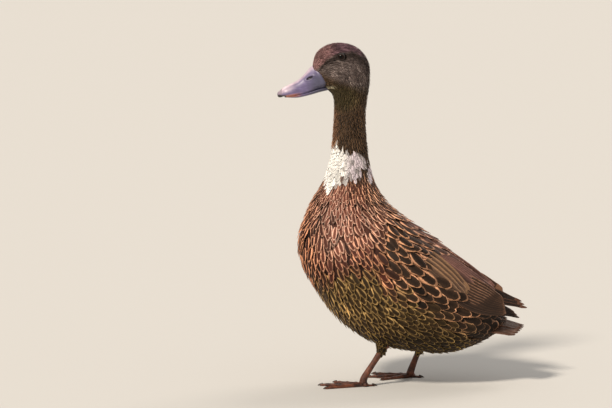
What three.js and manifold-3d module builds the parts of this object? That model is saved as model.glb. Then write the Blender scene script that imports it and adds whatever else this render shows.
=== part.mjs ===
// A standing domestic duck hen, alert, with her neck stretched up, at life size in millimetres.
// +Z is up, the bill points along -Y and the duck's left side is +X. The origin is on the floor,
// under the middle of the bounding box. The solids give the outer shape of the plumage.
import * as THREE from "three";
import { mergeVertices } from "three/addons/utils/BufferGeometryUtils.js";
import Module from "manifold-3d";

const { lerp, smoothstep } = THREE.MathUtils;
const wasm = await Module();
wasm.setup();

// ---- Driving dimensions ----

const GAP = 0.5; // clearance between neighbouring solids
const FULL_TURN = 2 * Math.PI;

// The body from the bill to the tail root, as cross-sections that fan along it. Each section
// spans from its back point to its front point, both [y, z] on the middle plane, with a half
// width, and `waist` says how far up from the front point it is widest.
const BODY = [
  { back: [-113.6, 399.6], front: [-106.9, 371.5], half: 10.0, waist: 0.45 }, // bill base
  { back: [-108.4, 415.6], front: [-101.3, 368.8], half: 12.8, waist: 0.43 }, // forehead and lores
  { back: [-92.5, 426.2], front: [-96.3, 367.9], half: 18.2, waist: 0.42 }, // eyes
  { back: [-72.5, 427.3], front: [-92.1, 366.0], half: 21.0, waist: 0.42 }, // crown and cheeks
  { back: [-55.0, 420.2], front: [-89.0, 362.5], half: 21.4, waist: 0.44 }, // hind crown
  { back: [-43.4, 404.5], front: [-87.5, 357.2], half: 21.0, waist: 0.46 }, // back of the head
  { back: [-41.0, 383.0], front: [-87.1, 350.3], half: 20.4, waist: 0.48 }, // nape
  { back: [-43.8, 361.6], front: [-87.3, 341.5], half: 20.0, waist: 0.5 }, // top of the neck
  { back: [-46.3, 337.7], front: [-87.8, 328.9], half: 20.0, waist: 0.5 }, // upper neck
  { back: [-45.1, 306.2], front: [-89.4, 303.7], half: 20.8, waist: 0.5 }, // middle of the neck
  { back: [-40.3, 281.0], front: [-95.0, 278.5], half: 24.5, waist: 0.5 }, // white bib
  { back: [-32.5, 253.3], front: [-105.0, 250.7], half: 32.0, waist: 0.5 }, // neck root
  { back: [-18.8, 229.3], front: [-119.4, 221.8], half: 42.0, waist: 0.5 }, // upper breast
  { back: [8.8, 206.6], front: [-131.3, 190.3], half: 54.0, waist: 0.5 }, // shoulders
  { back: [35.0, 189.0], front: [-130.6, 157.5], half: 63.5, waist: 0.48 }, // breast
  { back: [61.3, 167.6], front: [-112.5, 119.7], half: 69.0, waist: 0.47 }, // lower breast
  { back: [82.5, 147.4], front: [-81.3, 79.4], half: 71.0, waist: 0.47 }, // flanks
  { back: [97.5, 131.0], front: [-37.5, 50.4], half: 67.0, waist: 0.47 }, // belly
  { back: [107.5, 117.2], front: [11.3, 39.7], half: 57.5, waist: 0.48 }, // thighs
  { back: [115.0, 104.6], front: [56.3, 37.8], half: 45.0, waist: 0.48 }, // abdomen
  { back: [120.0, 94.5], front: [93.8, 49.1], half: 31.0, waist: 0.5 }, // vent
  { back: [125.0, 86.9], front: [113.8, 60.5], half: 19.0, waist: 0.5 }, // tail root
];
const BODY_SQUARE = 2.15; // 2 would be an ellipse, and more is boxier
const HEAD_END = 6.6; // section numbers where the thin cuts part the body
const NECK_END = 11.4;

const EYE = { y: -77.3, z: 410.8, radius: 6.2, depth: 3.9 }; // depth is the centre's, under the cheek

// Upper bill: the culmen line against the cutting edge, from the tip to inside the head.
const BILL_UPPER = [
  { back: [-154.2, 367.4], front: [-152.5, 360.6], half: 6.0, waist: 0.35 }, // nail
  { back: [-149.5, 371.6], front: [-146.5, 360.4], half: 11.0, waist: 0.25 },
  { back: [-142.0, 375.4], front: [-138.0, 361.0], half: 11.8, waist: 0.22 },
  { back: [-131.5, 380.8], front: [-127.5, 362.2], half: 10.8, waist: 0.2 },
  { back: [-123.8, 387.7], front: [-116.3, 365.2], half: 10.4, waist: 0.2 }, // nostrils
  { back: [-114.2, 398.2], front: [-105.5, 369.4], half: 11.6, waist: 0.24 },
  { back: [-107.5, 397.5], front: [-97.0, 372.2], half: 14.4, waist: 0.3 }, // its sides lap the face
  { back: [-97.0, 395.0], front: [-88.0, 378.5], half: 10.5, waist: 0.3 }, // buried in the head
];
// Lower bill: a shallow trough under the upper one.
const BILL_LOWER = [
  { back: [-147.0, 361.6], front: [-147.0, 359.2], half: 7.0, waist: 0.7 }, // tip
  { back: [-132.0, 363.4], front: [-131.8, 359.0], half: 9.8, waist: 0.75 },
  { back: [-118.0, 366.6], front: [-117.5, 362.0], half: 9.0, waist: 0.75 },
  { back: [-104.0, 371.0], front: [-103.0, 366.2], half: 9.6, waist: 0.75 },
  { back: [-90.0, 376.0], front: [-86.0, 370.0], half: 7.0, waist: 0.6 }, // buried in the head
];
const NOSTRIL = { y: -118.6, z: 386.6, length: 4.6, height: 1.9, depth: 2.2, pitch: 0.72 };

// Folded wing, in side view: its upper and lower edges from the shoulder to the tip.
const WING_UPPER = [[-33, 208], [6, 198], [48, 171], [80, 146.5], [120, 119], [154.2, 97.5]];
const WING_LOWER = [[-40, 199], [-37, 166], [-2, 132], [42, 105], [86, 88], [154.2, 91.5]];
const WING_RIM = 0.8; // how far its rim stands out of the flank
const WING_PROUD = 5.0; // and how much further its middle does
const WING_THICK = { root: 11, tip: 2.2, rim: 1.6 };
// The stiff rear part's distance from the middle plane, where it starts and at the tip.
const WING_BLADE = { from: 0.5, start: 36, end: 15, slant: 16 };
const LEFT_WING = { reach: 0.92, drop: 6 }; // the left wing is folded shorter and lower

// Tail fan: an arched wedge of seven pairs of feathers.
const TAIL = { root: 96, tip: 153, rootHalf: 20, tipHalf: 32, rootTop: 91, tipTop: 73 };
const TAIL_ARCH = { root: 15, tip: 6 }; // how far the outer feathers droop
const TAIL_ROUND = 15; // how much shorter the outer feathers are
const TAIL_NOTCH = 2.6; // depth of the notches between feather tips
const TAIL_FEATHERS = 14;
const TAIL_THICK = { root: 9, tip: 1.5 };

// Legs. Each hock and ankle is [y, z] in side view, and the feathered thigh ends at the cuff's
// height, a little under the belly.
const LEGS = [
  { side: "left", sign: 1, hock: [-22, 52], ankle: [-50, 9], cuff: 44, toeIn: 0.1 },
  { side: "right", sign: -1, hock: [29, 52], ankle: [11, 9], cuff: 35, toeIn: 0.06 },
];
const HOCK_OUT = 28; // distances from the middle plane
const ANKLE_OUT = 33;
const THIGH = { top: 40, upper: 17, lower: 6.6 }; // height above the hock, and its radii
const SHANK = { upper: 4.6, middle: 3.1, lower: 4.4 };

// Foot: the inner, middle and outer toes with their angles outwards, the hind toe, and the web
// between the front toes.
const TOES = [
  { length: 42, turn: -0.52 },
  { length: 52, turn: 0 },
  { length: 49, turn: 0.48 },
];
const HIND_TOE = { length: 13, turn: Math.PI + 0.3 };
const TOE = { half: 3.0, high: 5.2, claw: 7.0 };
const WEB = { thick: 1.3, reach: 0.93, hollow: 0.17 };

const FEATHER_BROWN = 0x4a3026;
const WING_BROWN = 0x3d2b24;
const TAIL_BROWN = 0x5e4038;
const BILL_SLATE = 0x857c96;
const EYE_DARK = 0x140c08;
const LEG_DUSK = 0x6b3a26;

// ---- Curves, sections and lofts ----

// A smooth curve through 2-D points, read by a number that counts its points from 0.
function trackOf(points) {
  const curve = new THREE.CatmullRomCurve3(
    points.map(([a, b]) => new THREE.Vector3(0, a, b)), false, "catmullrom", 0.5);
  return (at) => curve.getPoint(at / (points.length - 1));
}

// The sections of a body part, smoothly joined: at(n) gives the section n along.
function sectionsOf(list) {
  const back = trackOf(list.map((s) => s.back));
  const front = trackOf(list.map((s) => s.front));
  const sizes = trackOf(list.map((s) => [s.half, s.waist]));
  return (n) => ({ back: back(n), front: front(n), half: sizes(n).y, waist: sizes(n).z });
}

// The point of a section at an angle: 0 is the back, a quarter turn is the left side.
function ringPoint({ back, front, half, waist }, angle, square) {
  const spine = new THREE.Vector3().subVectors(back, front);
  const middle = front.clone().addScaledVector(spine, waist);
  const up = Math.cos(angle), side = Math.sin(angle);
  const reach = (up > 0 ? 1 - waist : waist) * spine.length();
  const round = (v) => Math.sign(v) * Math.abs(v) ** (2 / square);
  middle.addScaledVector(spine.normalize(), round(up) * reach);
  middle.x = round(side) * half;
  return middle;
}

// Grid of points (rows of rings), closed round each ring and capped at both ends.
function closedLoft(rings) {
  const around = rings[0].length;
  const points = rings.flat();
  const index = [];
  for (let i = 0; i + 1 < rings.length; i++)
    for (let j = 0; j < around; j++) {
      const a = i * around + j, b = i * around + ((j + 1) % around);
      index.push(a, a + around, b, b, a + around, b + around);
    }
  for (const [row, first] of [[0, true], [rings.length - 1, false]]) {
    const centre = new THREE.Vector3();
    rings[row].forEach((p) => centre.addScaledVector(p, 1 / around));
    points.push(centre);
    for (let j = 0; j < around; j++) {
      const a = row * around + j, b = row * around + ((j + 1) % around);
      index.push(...(first ? [points.length - 1, a, b] : [points.length - 1, b, a]));
    }
  }
  const geometry = new THREE.BufferGeometry().setFromPoints(points);
  geometry.setIndex(index);
  return geometry;
}

// A loft of the sections from number `from` to number `to`.
function sectionLoft(at, { from, to, along, around, square = 2 }) {
  const rings = [];
  for (let i = 0; i <= along; i++) {
    const section = at(from + ((to - from) * i) / along);
    rings.push(Array.from({ length: around }, (_, j) =>
      ringPoint(section, (-FULL_TURN * j) / around, square)));
  }
  return closedLoft(rings);
}

// A tapering rod through centre points with a radius at each.
function rod(centres, radii, { along, around, flat = 1 }) {
  const path = new THREE.CatmullRomCurve3(centres);
  const width = trackOf(radii.map((r) => [r, 0]));
  const across = new THREE.Vector3(1, 0, 0);
  const rings = [];
  for (let i = 0; i <= along; i++) {
    const t = i / along;
    const forward = path.getTangent(t);
    const depth = new THREE.Vector3().crossVectors(forward, across).normalize();
    const right = new THREE.Vector3().crossVectors(depth, forward);
    const r = width(t * (radii.length - 1)).y;
    rings.push(Array.from({ length: around }, (_, j) => {
      const angle = (FULL_TURN * j) / around;
      return path.getPoint(t)
        .addScaledVector(right, Math.cos(angle) * r * flat)
        .addScaledVector(depth, -Math.sin(angle) * r);
    }));
  }
  return closedLoft(rings);
}

// ---- Booleans ----

function solidOf(geometry) {
  const bare = geometry.clone();
  bare.deleteAttribute("normal");
  bare.deleteAttribute("uv");
  const merged = mergeVertices(bare, 1e-4);
  return new wasm.Manifold(new wasm.Mesh({
    numProp: 3,
    vertProperties: merged.attributes.position.array,
    triVerts: new Uint32Array(merged.index.array),
  }));
}

function geometryOf(solid) {
  const mesh = solid.getMesh();
  const geometry = new THREE.BufferGeometry();
  geometry.setAttribute("position", new THREE.BufferAttribute(mesh.vertProperties, 3));
  geometry.setIndex(new THREE.BufferAttribute(mesh.triVerts, 1));
  return geometry;
}

// The geometry with every corner moved out until each face beside it has moved by a distance.
function grown(geometry, by = GAP) {
  const shape = mergeVertices(geometry.clone().deleteAttribute("normal").deleteAttribute("uv"), 1e-4);
  const { position } = shape.attributes;
  const corner = (k) => new THREE.Vector3().fromBufferAttribute(position, k);
  const beside = Array.from({ length: position.count }, () => []);
  for (let i = 0; i < shape.index.count; i += 3) {
    const face = [0, 1, 2].map((k) => shape.index.getX(i + k));
    const normal = new THREE.Triangle(...face.map(corner)).getNormal(new THREE.Vector3());
    face.forEach((k, n) => {
      const to = corner(face[(n + 1) % 3]).sub(corner(k)), back = corner(face[(n + 2) % 3]).sub(corner(k));
      beside[k].push([normal, to.angleTo(back)]);
    });
  }
  const moved = beside.map((faces, k) => {
    const out = new THREE.Vector3();
    for (const [normal, angle] of faces) out.addScaledVector(normal, angle);
    out.normalize();
    const least = Math.min(...faces.map(([normal]) => normal.dot(out)));
    return corner(k).addScaledVector(out, by / Math.max(least, 0.3));
  });
  return new THREE.BufferGeometry().setFromPoints(moved).setIndex(shape.index);
}

// The geometry with a seat cut for each of the tools.
function seat(geometry, ...tools) {
  return geometryOf(tools.reduce((left, tool) => left.subtract(solidOf(grown(tool))), solidOf(geometry)));
}

function join(...geometries) {
  return geometryOf(geometries.map(solidOf).reduce((sum, next) => sum.add(next)));
}

// ---- The parts ----

const bodyAt = sectionsOf(BODY);

// Half width of the body beside a point of the middle plane, or 0 outside its outline.
function flankAt(y, z, first = 0) {
  const point = new THREE.Vector3(0, y, z);
  const side = (n) => {
    const { back, front } = bodyAt(n);
    const spine = new THREE.Vector3().subVectors(back, front);
    return spine.cross(point.clone().sub(front)).x;
  };
  const last = BODY.length - 1;
  let low = first;
  const step = 0.25;
  while (low < last && side(low) * side(Math.min(low + step, last)) > 0) low += step;
  if (low >= last) return 0;
  let high = low + step;
  for (let i = 0; i < 20; i++) {
    const middle = (low + high) / 2;
    if (side(low) * side(middle) <= 0) high = middle;
    else low = middle;
  }
  const { back, front, half, waist } = bodyAt(low);
  const spine = new THREE.Vector3().subVectors(back, front);
  const share = point.clone().sub(front).dot(spine) / spine.lengthSq();
  const height = Math.abs(share - waist) / (share > waist ? 1 - waist : waist);
  return height < 1 ? half * (1 - height ** BODY_SQUARE) ** (1 / BODY_SQUARE) : 0;
}

function eyeball(sign) {
  const out = flankAt(EYE.y, EYE.z) - EYE.depth;
  const ball = new THREE.SphereGeometry(EYE.radius, 14, 9);
  return ball.rotateZ(Math.PI / 2).translate(sign * out, EYE.y, EYE.z);
}

function billShape(list, along, around) {
  return sectionLoft(sectionsOf(list), { from: 0, to: list.length - 1, along, around, square: 2.2 });
}

// A flattened egg pressed into the side of the bill.
function nostril(sign) {
  const pit = new THREE.SphereGeometry(1, 10, 6);
  pit.scale(NOSTRIL.depth, NOSTRIL.length / 2, NOSTRIL.height / 2);
  pit.rotateX(NOSTRIL.pitch);
  return pit.translate(sign * 7.6, NOSTRIL.y, NOSTRIL.z);
}

// The folded wing is a leaf in side view. Its outer face follows the flank and then runs straight
// on past it as a stiff blade, and its inner face lies a little way in.
function wing(sign, { reach = 1, drop = 0 } = {}) {
  const along = 12, across = 6;
  const upper = trackOf(WING_UPPER), lower = trackOf(WING_LOWER);
  const last = WING_UPPER.length - 1;
  const outer = [], inner = [];
  for (let i = 0; i <= along; i++)
    for (let j = 0; j <= across; j++) {
      const a = i / along, b = j / across;
      const p = upper(a * last).lerp(lower(a * last), b);
      p.y += (p.y - WING_UPPER[0][0]) * (reach - 1);
      p.z -= drop * a * a;
      const lens = Math.sin(Math.PI * b) ** 0.6 * Math.sin(Math.PI * Math.min(a * 2.2, 0.5)) ** 0.5;
      const rear = smoothstep(a, WING_BLADE.from, 1);
      const blade = lerp(WING_BLADE.start, WING_BLADE.end, rear)
        + (b - 0.5) * WING_BLADE.slant * (1 - rear * 0.7) + 3 * Math.sin(Math.PI * b) * (1 - rear);
      const onFlank = flankAt(p.y, p.z, 10) + WING_RIM + WING_PROUD * lens;
      const x = a < WING_BLADE.from ? onFlank : Math.max(onFlank, blade);
      const middle = lerp(WING_THICK.root, WING_THICK.tip, Math.sqrt(a));
      outer.push(p.clone().setX(sign * x));
      inner.push(p.setX(sign * (x - lerp(WING_THICK.rim, middle, lens))));
    }
  return slab(outer, inner, along, across, sign);
}

// A closed slab between two grids of (along + 1) by (across + 1) points.
function slab(outer, inner, along, across, sign) {
  const row = across + 1, under = outer.length;
  const index = [];
  const quad = (a, b, c, d) => index.push(...(sign > 0 ? [a, b, c, a, c, d] : [a, c, b, a, d, c]));
  for (let i = 0; i < along; i++)
    for (let j = 0; j < across; j++) {
      const a = i * row + j;
      quad(a, a + 1, a + row + 1, a + row);
      quad(under + a, under + a + row, under + a + row + 1, under + a + 1);
    }
  for (let i = 0; i < along; i++)
    for (const [j, flip] of [[0, false], [across, true]]) {
      const a = i * row + j, b = a + row;
      if (flip) quad(a, under + a, under + b, b);
      else quad(a, b, under + b, under + a);
    }
  for (let j = 0; j < across; j++)
    for (const [i, flip] of [[0, true], [along, false]]) {
      const a = i * row + j, b = a + 1;
      if (flip) quad(a, under + a, under + b, b);
      else quad(a, b, under + b, under + a);
    }
  const geometry = new THREE.BufferGeometry().setFromPoints([...outer, ...inner]);
  geometry.setIndex(index);
  return geometry;
}

function tail() {
  const along = 3, across = TAIL_FEATHERS * 2;
  const top = [], under = [];
  for (let i = 0; i <= along; i++)
    for (let j = 0; j <= across; j++) {
      const a = i / along, b = (2 * j) / across - 1;
      const notch = j % 2 ? 0 : TAIL_NOTCH;
      const end = TAIL.tip - TAIL_ROUND * b * b - notch;
      const y = lerp(TAIL.root, end, a);
      const half = lerp(TAIL.rootHalf, TAIL.tipHalf, a);
      const z = lerp(TAIL.rootTop, TAIL.tipTop, a) - lerp(TAIL_ARCH.root, TAIL_ARCH.tip, a) * b * b;
      const thick = lerp(TAIL_THICK.root, TAIL_THICK.tip, Math.sqrt(a));
      top.push(new THREE.Vector3(b * half, y, z));
      under.push(new THREE.Vector3(b * half, y, z - thick));
    }
  return slab(top, under, along, across, 1);
}

function thigh({ sign, hock, ankle, cuff }) {
  const [y, z] = hock;
  const down = (z - cuff) / (z - ankle[1]);
  const low = new THREE.Vector3(sign * HOCK_OUT, lerp(y, ankle[0], down), cuff);
  const lean = new THREE.Vector3(sign * HOCK_OUT, y - 4, z + THIGH.top * 0.4);
  const hip = new THREE.Vector3(sign * (HOCK_OUT + 2), y - 12, z + THIGH.top);
  const radii = [THIGH.lower, (THIGH.lower + THIGH.upper) / 2, THIGH.upper];
  return rod([low, lean, hip], radii, { along: 4, around: 14 });
}

function shank({ sign, hock, ankle }) {
  const top = new THREE.Vector3(sign * HOCK_OUT, hock[0] + 1, hock[1] + 3);
  const low = new THREE.Vector3(sign * ANKLE_OUT, ankle[0], ankle[1] - 2);
  const middle = top.clone().lerp(low, 0.5);
  return rod([top, middle, low], [SHANK.upper, SHANK.middle, SHANK.lower],
    { along: 6, around: 10, flat: 0.8 });
}

// One toe along -Y from the ankle, flat underneath at the floor, with its claw.
function toe(length, high = TOE.high) {
  const along = 5, around = 8;
  const rings = [];
  for (let i = 0; i <= along; i++) {
    const a = i / along;
    const claw = i === along ? 0.25 : 1;
    const half = TOE.half * (1 - 0.35 * a) * claw;
    const tall = high * (1 - 0.45 * a) * claw;
    rings.push(Array.from({ length: around }, (_, j) => {
      const angle = (FULL_TURN * j) / around;
      const z = Math.max(tall * 0.45 + tall * 0.6 * Math.cos(angle), 0);
      return new THREE.Vector3(half * Math.sin(angle), 4 - (length + TOE.claw + 4) * a, z);
    }));
  }
  return closedLoft(rings);
}

// The web fills both gaps between the three front toes, with a hollow front edge.
function web() {
  const tip = ({ length, turn }, share) =>
    new THREE.Vector2(Math.sin(turn) * length * share, -Math.cos(turn) * length * share);
  const shape = new THREE.Shape();
  const [inner, middle, outer] = TOES;
  shape.moveTo(2.2, 2);
  for (const [here, next] of [[outer, middle], [middle, inner]]) {
    const from = tip(here, WEB.reach), to = tip(next, WEB.reach);
    const sag = from.clone().add(to).multiplyScalar(0.5 * (1 - WEB.hollow));
    if (here === outer) shape.lineTo(from.x, from.y);
    shape.quadraticCurveTo(sag.x, sag.y, to.x, to.y);
  }
  shape.lineTo(-2.2, 2);
  return new THREE.ExtrudeGeometry(shape, { depth: WEB.thick, bevelEnabled: false, curveSegments: 4 });
}

function foot({ sign, ankle, toeIn }) {
  const toes = TOES.map(({ length, turn }) => toe(length).rotateZ(sign * turn));
  const plate = sign > 0 ? web() : web().rotateY(Math.PI).translate(0, 0, WEB.thick);
  const heel = new THREE.SphereGeometry(4.6, 8, 6).scale(1, 1.05, 0.85).translate(0, 0.5, 3.9);
  const back = toe(HIND_TOE.length, 3.6).rotateZ(sign * HIND_TOE.turn);
  return join(plate, heel, back, ...toes)
    .rotateZ(-sign * toeIn)
    .translate(sign * ANKLE_OUT, ankle[0], 0);
}

// ---- The duck ----

const duck = new THREE.Group();

function add(name, geometry, color, roughness = 0.75) {
  const mesh = new THREE.Mesh(geometry, new THREE.MeshStandardMaterial({ color, roughness, metalness: 0 }));
  mesh.name = name;
  duck.add(mesh);
}

const thinCut = 0.03; // of a section's number, about GAP wide
const fleshOf = (from, to, along, around) =>
  sectionLoft(bodyAt, { from, to, along, around, square: BODY_SQUARE });
const head = fleshOf(0, HEAD_END, 14, 24);
const neck = fleshOf(HEAD_END + thinCut, NECK_END, 9, 24);
const trunk = fleshOf(NECK_END + thinCut, BODY.length - 1, 19, 26);
const upperBill = billShape(BILL_UPPER, 11, 14);
const lowerBill = billShape(BILL_LOWER, 6, 10);
const eyes = [eyeball(1), eyeball(-1)];
const wings = [wing(1, LEFT_WING), wing(-1)];

add("head", seat(head, upperBill, lowerBill, ...eyes), FEATHER_BROWN);
add("neck", neck, FEATHER_BROWN);
add("bill_upper", seat(upperBill, nostril(1), nostril(-1)), BILL_SLATE, 0.4);
add("bill_lower", seat(lowerBill, upperBill), BILL_SLATE, 0.45);
add("eye_left", eyes[0], EYE_DARK, 0.08);
add("eye_right", eyes[1], EYE_DARK, 0.08);
add("wing_left", wings[0], WING_BROWN);
add("wing_right", wings[1], WING_BROWN);
add("tail", tail(), TAIL_BROWN);
add("trunk", seat(trunk, ...wings, tail(), ...LEGS.map(thigh), ...LEGS.map(shank)), FEATHER_BROWN);
for (const leg of LEGS) {
  add(`thigh_${leg.side}`, seat(thigh(leg), shank(leg)), FEATHER_BROWN);
  add(`shank_${leg.side}`, seat(shank(leg), foot(leg)), LEG_DUSK, 0.6);
  add(`foot_${leg.side}`, foot(leg), LEG_DUSK, 0.6);
}

export default duck;
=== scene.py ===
"""A dark brown domestic duck hen with a white bib, standing alert. Metres, +Z up, bill along -Y."""

import math

import bpy
import numpy as np
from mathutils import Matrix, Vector, kdtree


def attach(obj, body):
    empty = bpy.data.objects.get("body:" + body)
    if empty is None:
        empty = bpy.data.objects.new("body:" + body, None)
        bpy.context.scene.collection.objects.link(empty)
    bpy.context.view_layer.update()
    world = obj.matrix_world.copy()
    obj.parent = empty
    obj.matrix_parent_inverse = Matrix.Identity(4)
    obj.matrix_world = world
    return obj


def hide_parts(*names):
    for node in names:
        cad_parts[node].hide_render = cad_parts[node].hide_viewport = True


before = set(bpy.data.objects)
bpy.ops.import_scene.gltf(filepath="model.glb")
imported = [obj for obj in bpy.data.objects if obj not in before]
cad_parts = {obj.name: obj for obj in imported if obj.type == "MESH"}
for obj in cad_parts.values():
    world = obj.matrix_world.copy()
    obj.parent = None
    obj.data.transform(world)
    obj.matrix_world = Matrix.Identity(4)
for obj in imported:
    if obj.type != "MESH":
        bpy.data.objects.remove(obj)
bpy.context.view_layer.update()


# ---- Camera, floor and studio light ----
# The duck stands on a plain pale studio floor, under two far, soft lamps and an even pale sky. The
# camera is a long lens 4 metres off on her left, a little above her and tilted down to her.

CAMERA_TILT = math.radians(7)
CAMERA_AWAY = 4.0
CAMERA_AIM = Vector((0, -0.1213, 0.2255))
FRAME_WIDTH = 0.765  # of the view at the duck
SENSOR = 36.0  # in millimetres
FLOOR_HALF = 40
FAR = 60  # the camera sees no further


def linear(code):
    """An sRGB hex colour as linear red, green and blue."""
    c = np.array([int(code[i:i + 2], 16) for i in (1, 3, 5)]) / 255
    return np.where(c <= 0.04045, c / 12.92, ((c + 0.055) / 1.055) ** 2.4)


def rgba(code):
    """An sRGB hex colour as a node's socket takes it, with an alpha of 1."""
    return (*linear(code), 1)


def node(tree, kind, inputs=None, **settings):
    """Adds a node. Settings are its own properties. Inputs maps a socket to a value or to another
    node's output socket, which is linked to it."""
    made = tree.nodes.new("ShaderNode" + kind)
    for name, value in settings.items():
        setattr(made, name, value)
    for name, value in (inputs or {}).items():
        if isinstance(value, bpy.types.NodeSocket):
            tree.links.new(value, made.inputs[name])
        else:
            made.inputs[name].default_value = value
    return made


def new_material(name, **surface):
    """A material with one principled surface. Each keyword is a socket's name with _ for a space."""
    material = bpy.data.materials.new(name)
    material.use_nodes = True
    tree = material.node_tree
    tree.nodes.clear()
    shader = node(tree, "BsdfPrincipled", {k.replace("_", " "): v for k, v in surface.items()})
    node(tree, "OutputMaterial", {"Surface": shader.outputs["BSDF"]})
    return material, tree, shader


def raise_bumps(tree, shader, height, strength, distance):
    """Makes a surface stand out by a height from 0 to 1, times a distance in metres."""
    bump = node(tree, "Bump", {"Strength": strength, "Distance": distance, "Height": height})
    tree.links.new(bump.outputs[0], shader.inputs["Normal"])


def soft_sun(name, come_from, spread, strength, colour):
    """A far lamp whose light is spread over some degrees, so its shadows are soft."""
    lamp = bpy.data.lights.new(name, "SUN")
    lamp.angle = math.radians(spread)
    lamp.energy = strength
    lamp.color = linear(colour)
    holder = bpy.data.objects.new(name, lamp)
    holder.rotation_euler = Vector(come_from).to_track_quat("Z", "Y").to_euler()
    bpy.context.collection.objects.link(holder)


camera = bpy.data.objects.new("camera", bpy.data.cameras.new("camera"))
camera.data.sensor_width = SENSOR
camera.data.lens = SENSOR * CAMERA_AWAY / FRAME_WIDTH
camera.data.clip_end = FAR
off = Vector((math.cos(CAMERA_TILT), 0, math.sin(CAMERA_TILT)))
camera.location = CAMERA_AIM + CAMERA_AWAY * off
camera.rotation_euler = (CAMERA_AIM - camera.location).to_track_quat("-Z", "Y").to_euler()
bpy.context.collection.objects.link(camera)
bpy.context.scene.camera = camera
bpy.context.scene.view_settings.view_transform = "Standard"

floor_material, tree, shader = new_material(
    "matt_painted_board", Base_Color=rgba("#c8c6c1"), Roughness=0.9, Specular_IOR_Level=0.2)
# Matt paint on board is even and hardly shines, with a faint roller speckle.
speckle = node(tree, "TexNoise", {"Scale": 900.0, "Detail": 3.0})
raise_bumps(tree, shader, speckle.outputs[0], 0.05, 0.0003)
floor_mesh = bpy.data.meshes.new("floor")
corners = [(FLOOR_HALF * x, FLOOR_HALF * y, 0) for x, y in ((-1, -1), (1, -1), (1, 1), (-1, 1))]
floor_mesh.from_pydata(corners, [], [(0, 1, 2, 3)])
floor_mesh.materials.append(floor_material)
floor = bpy.data.objects.new("floor", floor_mesh)
bpy.context.collection.objects.link(floor)

world = bpy.data.worlds.new("studio")
world.use_nodes = True
sky = world.node_tree.nodes["Background"]
sky.inputs["Color"].default_value = rgba("#f1f0f0")
sky.inputs["Strength"].default_value = 0.5
bpy.context.scene.world = world
soft_sun("key_light", (0.95, -0.8, 1.2), 10, 3.5, "#fff3e4")
soft_sun("rim_light", (-0.9, 0.7, 1.1), 30, 0.9, "#fff4ea")


# ---- Skin ----
# The bare body under the plumage, from the bill to the tail root, a few millimetres inside the
# outer shape of the coat. One closed surface of thin pimpled skin and grey-brown down, and the
# form that the feathers are set into.

# Sections along the body, in millimetres: the back point's y and z, the front point's y and z,
# the half width, how far up from the front point it is widest, and the coat's depth.
BODY = np.array([
    (-113.6, 399.6, -106.9, 371.5, 10.0, 0.45, 0.5),  # bill base
    (-108.4, 415.6, -101.3, 368.8, 12.8, 0.43, 1.0),  # forehead and lores
    (-92.5, 426.2, -96.3, 367.9, 18.2, 0.42, 1.4),  # eyes
    (-72.5, 427.3, -92.1, 366.0, 21.0, 0.42, 1.6),  # crown and cheeks
    (-55.0, 420.2, -89.0, 362.5, 21.4, 0.44, 1.8),  # hind crown
    (-43.4, 404.5, -87.5, 357.2, 21.0, 0.46, 2.0),  # back of the head
    (-41.0, 383.0, -87.1, 350.3, 20.4, 0.48, 2.2),  # nape
    (-43.8, 361.6, -87.3, 341.5, 20.0, 0.5, 2.4),  # top of the neck
    (-46.3, 337.7, -87.8, 328.9, 20.0, 0.5, 2.6),  # upper neck
    (-45.1, 306.2, -89.4, 303.7, 20.8, 0.5, 2.8),  # middle of the neck
    (-40.3, 281.0, -95.0, 278.5, 24.5, 0.5, 3.2),  # white bib
    (-32.5, 253.3, -105.0, 250.7, 32.0, 0.5, 3.6),  # neck root
    (-18.8, 229.3, -119.4, 221.8, 42.0, 0.5, 3.8),  # upper breast
    (8.8, 206.6, -131.3, 190.3, 54.0, 0.5, 4.0),  # shoulders
    (35.0, 189.0, -130.6, 157.5, 63.5, 0.48, 4.2),  # breast
    (61.3, 167.6, -112.5, 119.7, 69.0, 0.47, 4.4),  # lower breast
    (82.5, 147.4, -81.3, 79.4, 71.0, 0.47, 4.6),  # flanks
    (97.5, 131.0, -37.5, 50.4, 67.0, 0.47, 4.6),  # belly
    (107.5, 117.2, 11.3, 39.7, 57.5, 0.48, 4.4),  # thighs
    (115.0, 104.6, 56.3, 37.8, 45.0, 0.48, 4.0),  # abdomen
    (120.0, 94.5, 93.8, 49.1, 31.0, 0.5, 3.6),  # vent
    (125.0, 86.9, 113.8, 60.5, 19.0, 0.5, 3.0),  # tail root
])
SECTIONS = len(BODY) - 1
BODY_SQUARE = 2.15
BODY_ROWS = 20  # grid rows to each section
BODY_ROUND = 240  # grid columns round the body
MM = 0.001
WING_START = np.array([-36.0, 184.0])  # the folded wing's shoulder and rump, in side view
WING_END = np.array([112.0, 104.0])
WING_SWELL = 5.0


def mm(points):
    """The x, y and z of some points, in millimetres."""
    return tuple(points[..., k] / MM for k in range(3))


def spline(rows, t):
    """A Catmull-Rom curve through the rows, where t counts rows from 0. Between rows b and c,
    with a before and d after, it is half of 2b + (c-a)f + (2a-5b+4c-d)f^2 + (3b-a-3c+d)f^3."""
    rows = np.asarray(rows, float)
    padded = np.vstack([2 * rows[0] - rows[1], rows, 2 * rows[-1] - rows[-2]])
    i = np.clip(np.floor(t).astype(int), 0, len(rows) - 2)
    f = (t - i)[..., None]
    a, b, c, d = (padded[i + k] for k in range(4))
    return 0.5 * (2 * b + (c - a) * f + (2 * a - 5 * b + 4 * c - d) * f**2
                  + (3 * b - a - 3 * c + d) * f**3)


def smooth(x, low, high):
    """0 below low, 1 above high, and 3t^2 - 2t^3 between them."""
    t = np.clip((x - low) / (high - low), 0, 1)
    return t * t * (3 - 2 * t)


def turns(columns):
    """Even angles round a full turn."""
    return np.arange(columns) * 2 * math.pi / columns


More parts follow.
